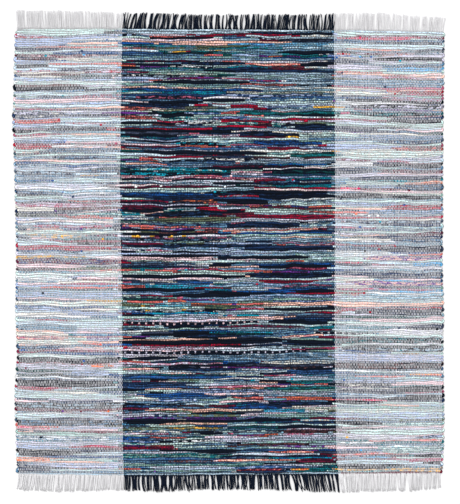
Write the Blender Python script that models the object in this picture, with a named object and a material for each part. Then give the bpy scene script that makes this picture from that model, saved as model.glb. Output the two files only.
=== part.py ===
"""Flat rag rug: one woven cloth with ribs of rag weft, and a fringe of warp ends at each end.

X runs across the rug, Y along it from the near end to the far end, and Z up.
The rug lies on Z = 0 with the middle of its box at the origin. Units are metres.
"""

import random
from collections import namedtuple

import bmesh
import bpy
from mathutils import noise, Vector

# The woven cloth
PICKS = 230                  # rows of rag weft between the two fringes
CREST_HEIGHT = 0.0060        # over the middle of a rag
TROUGH_HEIGHT = 0.0040       # between two rags
TURN_NOTCH = 0.0035          # how far the selvedge steps in where no rag turns
CREST_STEP = 0.0005          # and at the middle of each rag
TURN_UNEVEN = 0.0014         # one turn against the next
WAVER = 0.0040               # how far a row of rag wanders from straight
WAVER_ACROSS = 0.42          # length of one wander across the rug
WAVER_ALONG = 0.16           # and along it
STRAIGHT_SHARE = 0.08        # share of the length over which the rows settle straight at an end

# The fringe
STRANDS = {"left": 36, "centre": 71, "right": 36}
STRIP_DEPTH = 0.0035         # the root strip, measured along the rug
STRIP_HEIGHT = 0.0040
PARTING = 0.0003             # between the cloth's end and the root strip
INNER_STEPS = 4              # front divisions for each point on the strip's inner edge
MERGE_WITHIN = 0.00001
STRAND_SHARE = 0.45          # width of a strand's root as a share of the strands' pitch
MIDDLE_AT = 0.45             # where a strand bends, as a share of its length
MIDDLE_WIDTH, MIDDLE_HEIGHT = 0.0038, 0.0031
TIP_WIDTH, TIP_HEIGHT = 0.0028, 0.0023
BUNCH_SIZES = (1, 2, 2, 3, 3, 4)
BUNCH_CLOSING = 0.42         # how much nearer the tips of one bunch lie than their roots
BUNCH_SWAY = 0.0030          # how far a whole bunch leans to one side
LEAN_CURVE = 1.2             # over 1, a strand leans more towards its tip
LENGTH_UNEVEN = 0.0050       # one strand against the next
TIPS_APART = 0.0042          # least distance between the middles of two tips

SEED = 23

# Half widths of the cloth, from the near end to the far end
Side = namedtuple("Side", "along left right")
SIDES = (
    Side(along=0.000, left=0.6916, right=0.6930),
    Side(along=0.124, left=0.6940, right=0.6990),
    Side(along=0.254, left=0.6990, right=0.6990),
    Side(along=0.397, left=0.6900, right=0.6960),
    Side(along=0.527, left=0.6965, right=0.6980),
    Side(along=0.683, left=0.6935, right=0.6930),
    Side(along=0.839, left=0.6955, right=0.6950),
    Side(along=0.995, left=0.6997, right=0.6955),
    Side(along=1.151, left=0.7050, right=0.6965),
    Side(along=1.307, left=0.6997, right=0.6980),
    Side(along=1.444, left=0.6965, right=0.7010),
)

# Where the navy warp starts and stops
Border = namedtuple("Border", "along left right")
BORDERS = (
    Border(along=0.000, left=-0.3425, right=0.3526),
    Border(along=0.090, left=-0.3450, right=0.3470),
    Border(along=0.500, left=-0.3480, right=0.3406),
    Border(along=0.950, left=-0.3550, right=0.3429),
    Border(along=1.444, left=-0.3474, right=0.3396),
)

# Distance of each end of the cloth from the rug's middle, from left to right
End = namedtuple("End", "across near far")
ENDS = (
    End(across=-0.695, near=0.7225, far=0.7228),
    End(across=-0.345, near=0.7274, far=0.7251),
    End(across=0.345, near=0.7225, far=0.7205),
    End(across=0.700, near=0.7202, far=0.7134),
)

# Length of the fringe past each end, from left to right
Reach = namedtuple("Reach", "across near far")
REACHES = (
    Reach(across=-0.68, near=0.049, far=0.060),
    Reach(across=-0.60, near=0.054, far=0.048),
    Reach(across=-0.53, near=0.050, far=0.055),
    Reach(across=-0.44, near=0.047, far=0.034),
    Reach(across=-0.33, near=0.049, far=0.052),
    Reach(across=-0.23, near=0.052, far=0.052),
    Reach(across=-0.10, near=0.047, far=0.045),
    Reach(across=0.08, near=0.051, far=0.050),
    Reach(across=0.18, near=0.056, far=0.044),
    Reach(across=0.26, near=0.061, far=0.049),
    Reach(across=0.43, near=0.062, far=0.057),
    Reach(across=0.50, near=0.060, far=0.056),
    Reach(across=0.55, near=0.036, far=0.050),
    Reach(across=0.60, near=0.057, far=0.043),
    Reach(across=0.69, near=0.045, far=0.042),
)

Finish = namedtuple("Finish", "name colour roughness")
RAG_WEFT = Finish("rag_weft", (0.33, 0.34, 0.39), 0.9)
WHITE_WARP = Finish("white_warp", (0.76, 0.77, 0.79), 0.9)
NAVY_WARP = Finish("navy_warp", (0.020, 0.026, 0.048), 0.9)


def read_table(rows, at, column):
    """The value of a column at a place, on straight lines between the rows."""
    place = rows[0]._fields[0]
    for low, high in zip(rows, rows[1:]):
        low_at, high_at = getattr(low, place), getattr(high, place)
        if at <= high_at or high is rows[-1]:
            share = min(max((at - low_at) / (high_at - low_at), 0.0), 1.0)
            return getattr(low, column) * (1 - share) + getattr(high, column) * share


def clear_scene():
    for obj in list(bpy.data.objects):
        bpy.data.objects.remove(obj)


def make_material(finish):
    material = bpy.data.materials.new(finish.name)
    material.use_nodes = True
    shader = material.node_tree.nodes["Principled BSDF"]
    shader.inputs["Base Color"].default_value = (*finish.colour, 1.0)
    shader.inputs["Roughness"].default_value = finish.roughness
    shader.inputs["Metallic"].default_value = 0.0
    return material


def make_object(name, bm, material, collection, carrier):
    bmesh.ops.recalc_face_normals(bm, faces=bm.faces)
    mesh = bpy.data.meshes.new(name)
    bm.to_mesh(mesh)
    bm.free()
    mesh.materials.append(material)
    obj = bpy.data.objects.new(name, mesh)
    collection.objects.link(obj)
    obj.parent = carrier
    return obj


def end_edge(end, across):
    """Y of the cloth's near or far end at a place across the rug."""
    distance = read_table(ENDS, across, end)
    return -distance if end == "near" else distance


def columns_at(along):
    """X of the cloth's columns: the selvedges, the colour borders, and steps between them."""
    left, right = -read_table(SIDES, along, "left"), read_table(SIDES, along, "right")
    low, high = read_table(BORDERS, along, "left"), read_table(BORDERS, along, "right")
    third = (high - low) / 3
    return (left, (left + low) / 2, low, low + third, high - third, high, (high + right) / 2, right)


def selvedge_step(side, row, uneven):
    """How far the selvedge lies inside its line: a rag turns round every other gap on each side."""
    if row % 2:
        return CREST_STEP + uneven[row // 2]
    gap = row // 2
    turns_here = gap % 2 == (1 if side == "right" else 0)
    return 0.0 if turns_here else TURN_NOTCH + uneven[min(gap, PICKS - 1)]


def make_cloth(material, collection, carrier):
    """A grid with a crest for each rag and a trough for each gap, its rim brought down to the floor."""
    draws = random.Random(SEED)
    uneven = {side: [draws.uniform(-1, 1) * TURN_UNEVEN for _ in range(PICKS)] for side in ("left", "right")}
    rows = 2 * PICKS
    steps = len(columns_at(0.0)) - 1
    bm = bmesh.new()
    bmesh.ops.create_grid(bm, x_segments=steps, y_segments=rows, size=0.5)
    length = SIDES[-1].along
    for vert in bm.verts:
        column = round((vert.co.x + 0.5) * steps)
        row = round((vert.co.y + 0.5) * rows)
        share = row / rows
        across = columns_at(share * length)[column]
        near, far = end_edge("near", across), end_edge("far", across)
        place = Vector((across / WAVER_ACROSS, share * length / WAVER_ALONG, 0.0))
        hold = min(1.0, share / STRAIGHT_SHARE, (1 - share) / STRAIGHT_SHARE)
        waver = WAVER * hold * noise.noise(place)
        if column == 0:
            across += selvedge_step("left", row, uneven["left"])
        elif column == steps:
            across -= selvedge_step("right", row, uneven["right"])
        height = CREST_HEIGHT if row % 2 else TROUGH_HEIGHT
        vert.co = (across, near + (far - near) * share + waver, height)
    rim = [edge for edge in bm.edges if edge.is_boundary]
    walls = bmesh.ops.extrude_edge_only(bm, edges=rim)["geom"]
    for vert in (item for item in walls if isinstance(item, bmesh.types.BMVert)):
        vert.co.z = 0.0
    bottom = [edge for edge in bm.edges if edge.is_boundary]
    bmesh.ops.edgeloop_fill(bm, edges=bottom)
    return make_object("rug_cloth", bm, material, collection, carrier)


def bunch_tips(roots, draws):
    """Where the tips lie across the rug: bunches lean together, and no two tips touch."""
    tips = []
    while len(tips) < len(roots):
        bunch = roots[len(tips):len(tips) + draws.choice(BUNCH_SIZES)]
        middle = sum(bunch) / len(bunch)
        sway = draws.uniform(-1, 1) * BUNCH_SWAY
        tips += [middle + sway + (root - middle) * (1 - BUNCH_CLOSING) for root in bunch]
    for i in range(1, len(tips)):
        tips[i] = max(tips[i], tips[i - 1] + TIPS_APART)
    return tips


def shape_ring(face, middle, width, height):
    """Puts the four corners of a strand's cut face round a place on the floor."""
    centre = face.calc_center_median()
    for vert in face.verts:
        side = 1 if vert.co.x > centre.x else -1
        vert.co = (middle.x + side * width / 2, middle.y, height if vert.co.z > centre.z else 0.0)


def zone_ends(end, zone):
    """X of a root strip's two ends, a little apart from the next zone's strip."""
    columns = columns_at(0.0 if end == "near" else SIDES[-1].along)
    low, high = columns[0] + TURN_NOTCH, columns[-1] - TURN_NOTCH
    first_border, last_border = columns[2], columns[5]
    return {
        "left": (low, first_border - PARTING / 2),
        "centre": (first_border + PARTING / 2, last_border - PARTING / 2),
        "right": (last_border + PARTING / 2, high),
    }[zone]


def make_strip(end, low, high, count):
    """A bar along the cloth's end whose front face is divided into strand roots and the gaps between."""
    outward = -1 if end == "near" else 1
    pitch = (high - low) / count
    steps = 2 * count + 1
    edges = [low + pitch * (i + 0.5 + side * STRAND_SHARE / 2) for i in range(count) for side in (-1, 1)]
    places = [low, *edges, high]
    bm = bmesh.new()
    bmesh.ops.create_grid(bm, x_segments=steps, y_segments=1, size=0.5)
    for vert in bm.verts:
        step = round((vert.co.x + 0.5) * steps)
        away = PARTING + STRIP_DEPTH
        if vert.co.y < 0:
            away = PARTING
            step = min(INNER_STEPS * round(step / INNER_STEPS), steps)
        vert.co = (places[step], end_edge(end, places[step]) + outward * away, 0.0)
    bmesh.ops.remove_doubles(bm, verts=bm.verts, dist=MERGE_WITHIN)
    raised = bmesh.ops.extrude_face_region(bm, geom=list(bm.faces))["geom"]
    for vert in (item for item in raised if isinstance(item, bmesh.types.BMVert)):
        vert.co.z = STRIP_HEIGHT
    bmesh.ops.recalc_face_normals(bm, faces=bm.faces)
    return bm


def make_fringe(name, end, zone, material, collection, carrier, draws):
    """A root strip along the cloth's end, and the strands drawn out of its front face."""
    outward = -1 if end == "near" else 1
    low, high = zone_ends(end, zone)
    count = STRANDS[zone]
    pitch = (high - low) / count
    bm = make_strip(end, low, high, count)
    roots = [low + pitch * (i + 0.5) for i in range(count)]
    tips = bunch_tips(roots, draws)
    front = [face for face in bm.faces if face.normal.y * outward > 0.5]
    front.sort(key=lambda face: face.calc_center_median().x)
    for root, tip, face in zip(roots, tips, front[1::2]):
        base = end_edge(end, root) + outward * (PARTING + STRIP_DEPTH)
        reach = read_table(REACHES, root, end) - STRIP_DEPTH + draws.uniform(-1, 1) * LENGTH_UNEVEN
        sections = ((MIDDLE_AT, MIDDLE_WIDTH, MIDDLE_HEIGHT), (1.0, TIP_WIDTH, TIP_HEIGHT))
        for share, width, height in sections:
            face = bmesh.ops.extrude_discrete_faces(bm, faces=[face])["faces"][0]
            across = root + (tip - root) * share ** LEAN_CURVE
            middle = Vector((across, base + outward * reach * share, 0.0))
            shape_ring(face, middle, width, height)
    return make_object(name, bm, material, collection, carrier)


def centre_rug(pieces, carrier):
    """Moves the carrier so that the middle of the whole rug's box is at the origin."""
    points = [vert.co for piece in pieces for vert in piece.data.vertices]
    for axis in (0, 1):
        low, high = min(p[axis] for p in points), max(p[axis] for p in points)
        carrier.location[axis] = -(low + high) / 2


def main():
    clear_scene()
    collection = bpy.data.collections.new("rag_rug")
    bpy.context.scene.collection.children.link(collection)
    carrier = bpy.data.objects.new("rug_middle", None)
    collection.objects.link(carrier)
    rag, white, navy = (make_material(finish) for finish in (RAG_WEFT, WHITE_WARP, NAVY_WARP))
    pieces = [make_cloth(rag, collection, carrier)]
    draws = random.Random(SEED + 1)
    for end in ("far", "near"):
        for zone, warp in (("left", white), ("centre", navy), ("right", white)):
            pieces.append(make_fringe(f"fringe_{end}_{zone}", end, zone, warp, collection, carrier, draws))
    centre_rug(pieces, carrier)


main()
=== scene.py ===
"""A flat rag rug on a white studio floor, seen from straight above."""
from collections import namedtuple

import bpy
import numpy as np
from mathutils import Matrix, Vector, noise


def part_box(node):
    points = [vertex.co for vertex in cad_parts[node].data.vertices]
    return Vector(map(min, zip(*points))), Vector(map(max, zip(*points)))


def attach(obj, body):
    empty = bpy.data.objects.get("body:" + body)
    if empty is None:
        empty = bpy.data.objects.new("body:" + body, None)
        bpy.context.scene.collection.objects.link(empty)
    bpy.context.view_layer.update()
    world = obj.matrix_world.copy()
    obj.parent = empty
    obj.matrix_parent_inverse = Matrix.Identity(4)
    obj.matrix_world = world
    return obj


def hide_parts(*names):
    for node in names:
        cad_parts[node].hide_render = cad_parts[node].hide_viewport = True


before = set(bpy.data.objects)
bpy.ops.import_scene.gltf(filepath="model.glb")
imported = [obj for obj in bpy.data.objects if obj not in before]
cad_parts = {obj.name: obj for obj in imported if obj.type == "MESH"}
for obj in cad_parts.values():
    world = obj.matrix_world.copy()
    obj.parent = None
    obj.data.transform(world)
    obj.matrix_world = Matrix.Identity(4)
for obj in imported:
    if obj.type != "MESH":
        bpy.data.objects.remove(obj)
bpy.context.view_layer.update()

# The studio
# A seamless white floor, an even white sky of soft boxes and one large soft key light.
# The camera hangs straight over the rug on a long lens, so that the rug keeps square corners.
METRES_PER_PIXEL = 0.00325
IMAGE_WIDTH, IMAGE_HEIGHT = 460, 504
RUG_MIDDLE_ACROSS, RUG_MIDDLE_DOWN = 229.3, 251.7      # pixels in the photograph
LENS, SENSOR = 120.0, 36.0                             # millimetres
FLOOR_DROP = 0.0004                                    # below Z = 0, under the rug's lowest yarn
FLOOR_HALF = 6.0
FLOOR_COLOUR = (0.93, 0.93, 0.935, 1.0)
FLOOR_ROUGHNESS, FLOOR_SHINE = 0.9, 0.1
SKY_COLOUR, SKY_STRENGTH = (1.0, 1.0, 1.0, 1.0), 0.80
KEY_STRENGTH, KEY_SPREAD, KEY_TILT = 1.5, 0.5, (-0.60, -0.35, 0.0)

cloth_low, cloth_high = (Vector(corner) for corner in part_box("rug_cloth"))
CLOTH_FAR = 0.7251             # far edge of the cloth from the rug's middle, at its furthest
CLOTH_LEFT, CLOTH_RIGHT = 0.7050, 0.7010
middle_x = (cloth_low.x + CLOTH_LEFT + cloth_high.x - CLOTH_RIGHT) / 2
middle = Vector((middle_x, cloth_high.y - CLOTH_FAR, 0.0))

bpy.ops.object.select_all(action="DESELECT")
bpy.ops.mesh.primitive_plane_add(size=2 * FLOOR_HALF, location=(0, 0, 0))
floor = bpy.context.object
floor.name = "studio_floor"
for vertex in floor.data.vertices:
    vertex.co.z = -FLOOR_DROP
floor_paint = bpy.data.materials.new("white_floor")
floor_paint.use_nodes = True
floor_shader = floor_paint.node_tree.nodes["Principled BSDF"]
floor_shader.inputs["Base Color"].default_value = FLOOR_COLOUR
floor_shader.inputs["Roughness"].default_value = FLOOR_ROUGHNESS
floor_shader.inputs["Specular IOR Level"].default_value = FLOOR_SHINE
floor.data.materials.append(floor_paint)

world = bpy.data.worlds.new("soft_boxes")
world.use_nodes = True
sky = world.node_tree.nodes["Background"]
sky.inputs["Color"].default_value = SKY_COLOUR
sky.inputs["Strength"].default_value = SKY_STRENGTH
bpy.context.scene.world = world
key_data = bpy.data.lights.new("key", "SUN")
key_data.energy = KEY_STRENGTH
key_data.angle = KEY_SPREAD
key = bpy.data.objects.new("key", key_data)
key.rotation_euler = KEY_TILT
bpy.context.scene.collection.objects.link(key)

camera_data = bpy.data.cameras.new("overhead")
camera_data.lens = LENS
camera_data.sensor_width = SENSOR
camera = bpy.data.objects.new("overhead", camera_data)
camera_height = IMAGE_HEIGHT * METRES_PER_PIXEL * LENS / SENSOR
camera.location = (
    middle.x + (IMAGE_WIDTH / 2 - RUG_MIDDLE_ACROSS) * METRES_PER_PIXEL,
    middle.y - (IMAGE_HEIGHT / 2 - RUG_MIDDLE_DOWN) * METRES_PER_PIXEL,
    camera_height,
)
bpy.context.scene.collection.objects.link(camera)
bpy.context.scene.camera = camera
bpy.context.scene.view_settings.view_transform = "Standard"

# The rag weft
# Torn cotton rags, knotted end to end into one long string and beaten in between the warp, 230 rows in all.
# The string walks back and forth, so each selvedge is a row of turns, and rows swell and thin with the rags.
PICKS = 230
STEPS = 93                     # steps in each row, six warp ends wide
RAG_FLOOR, RAG_EDGE, RAG_TOP = 0.0009, 0.0026, 0.0044   # heights of a rag's underside, sides and ridge
RAG_LAP = 1.04                 # a rag's width beside that of its row
RAG_SIDES = 4                  # two at the top and two underneath
RIDGE_LIFT, RIDGE_ROLL, RIDGE_SHIFT = 0.0004, 1.2, 0.3  # how a rag's ridge rises and leans, at random
RIDGE_STEPS = 0.8
THICK_RANGE, THICK_POWER = (0.6, 1.4), 0.6              # how a rag's height follows its row's width
TURN_REACH = 0.0050            # how far a turn's middle line swings out
TURN_UNEVEN = 0.0012
TURN_FULLNESS = 0.9            # a turn's width beside that of its rows
TURN_RINGS = (0.25, 0.5, 0.75)                          # where they stand on the way round
WAVER, WAVER_ACROSS, WAVER_ALONG = 0.0040, 0.42, 0.16   # how far the rows wander, and over what distances
STRAIGHT_SHARE = 0.08          # of the cloth at each end, where they wander less
SETTLE_ROWS = 3.0              # rows over which a thick rag's push is taken up
SWELL_STEPS = 1.6              # steps over which one thickness goes over into the next
SLOW_SWELL, SLOW_STEPS = 0.55, 3.0
QUICK_SWELL, QUICK_STEPS = 0.22, 0.8
THINNEST_ROW = 0.40            # of the mean row
END_TAPER, TAPER_STEPS, TAPER_GAIN = 0.50, 1.2, 3       # how much thinner a rag is torn at its ends
PICKS_A_BAND = 23
SEED = 11

Side = namedtuple("Side", "along left right")
SIDES = (
    Side(along=0.000, left=0.6916, right=0.6930),
    Side(along=0.124, left=0.6940, right=0.6990),
    Side(along=0.254, left=0.6990, right=0.6990),
    Side(along=0.397, left=0.6900, right=0.6960),
    Side(along=0.527, left=0.6965, right=0.6980),
    Side(along=0.683, left=0.6935, right=0.6930),
    Side(along=0.839, left=0.6955, right=0.6950),
    Side(along=0.995, left=0.6997, right=0.6955),
    Side(along=1.151, left=0.7050, right=0.6965),
    Side(along=1.307, left=0.6997, right=0.6980),
    Side(along=1.444, left=0.6965, right=0.7010),
)
End = namedtuple("End", "across near far")
ENDS = (
    End(across=-0.695, near=0.7225, far=0.7228),
    End(across=-0.345, near=0.7274, far=0.7251),
    End(across=0.345, near=0.7225, far=0.7205),
    End(across=0.700, near=0.7202, far=0.7134),
)

# Screen colours of the rags, with how often each comes, its longest rag in rows, and its thickness
Dye = namedtuple("Dye", "name colour share longest swell")
DYES = (
    Dye("black", (5, 13, 26), 3, 0.9, 1.70),
    Dye("charcoal", (52, 60, 80), 3, 0.9, 1.60),
    Dye("navy", (22, 44, 78), 5, 0.8, 1.50),
    Dye("ink_blue", (42, 78, 126), 7, 0.7, 1.10),
    Dye("slate", (84, 120, 150), 9, 0.8, 1.00),
    Dye("steel", (116, 154, 174), 8, 0.8, 0.95),
    Dye("grey", (150, 172, 188), 8, 0.8, 0.95),
    Dye("ice_blue", (189, 209, 223), 10, 0.9, 0.95),
    Dye("periwinkle", (162, 178, 212), 4, 0.6, 0.90),
    Dye("mint", (191, 216, 213), 8, 0.8, 0.90),
    Dye("lilac", (201, 198, 219), 6, 0.7, 0.90),
    Dye("cream", (219, 215, 206), 4, 0.6, 0.90),
    Dye("white", (229, 231, 234), 4, 0.6, 0.85),
    Dye("pale_pink", (236, 202, 210), 2.5, 0.5, 0.95),
    Dye("peach", (240, 190, 174), 1.5, 0.4, 0.90),
    Dye("salmon", (214, 108, 102), 1.2, 0.3, 0.85),
    Dye("hot_pink", (214, 46, 98), 0.5, 0.15, 0.85),
    Dye("crimson", (162, 14, 46), 1.2, 0.35, 0.95),
    Dye("maroon", (98, 18, 46), 4, 0.7, 1.00),
    Dye("rose", (172, 88, 116), 3, 0.4, 0.90),
    Dye("purple", (100, 50, 134), 1.5, 0.25, 0.90),
    Dye("royal_blue", (20, 80, 152), 3, 0.35, 0.90),
    Dye("sky_blue", (92, 162, 206), 3, 0.3, 0.85),
    Dye("turquoise", (16, 150, 176), 1, 0.10, 0.85),
    Dye("teal", (18, 106, 116), 4.5, 0.4, 0.95),
    Dye("bottle_green", (10, 66, 66), 3.5, 0.5, 1.10),
    Dye("sage", (132, 168, 160), 3, 0.3, 0.90),
    Dye("olive", (92, 100, 76), 1.5, 0.25, 0.90),
    Dye("brown", (96, 60, 60), 1.5, 0.4, 0.95),
    Dye("orange", (220, 114, 74), 0.4, 0.12, 0.85),
    Dye("mustard", (232, 174, 64), 0.3, 0.05, 0.85),
)
SHORTEST_RAG, SHORT_BIAS = 0.03, 1.8                    # in rows, and how strongly the short ones lead
PRINTED_SHARE = 0.38           # of the rags are torn from a printed cloth of two colours
PRINT_RANGE, PLAIN_RANGE = (0.30, 0.55), (0.0, 0.22)    # how far the second colour goes in print and plain
SWELL_RANGE, PLACED_SWELL_RANGE = (0.60, 1.40), (0.90, 1.15)

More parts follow.
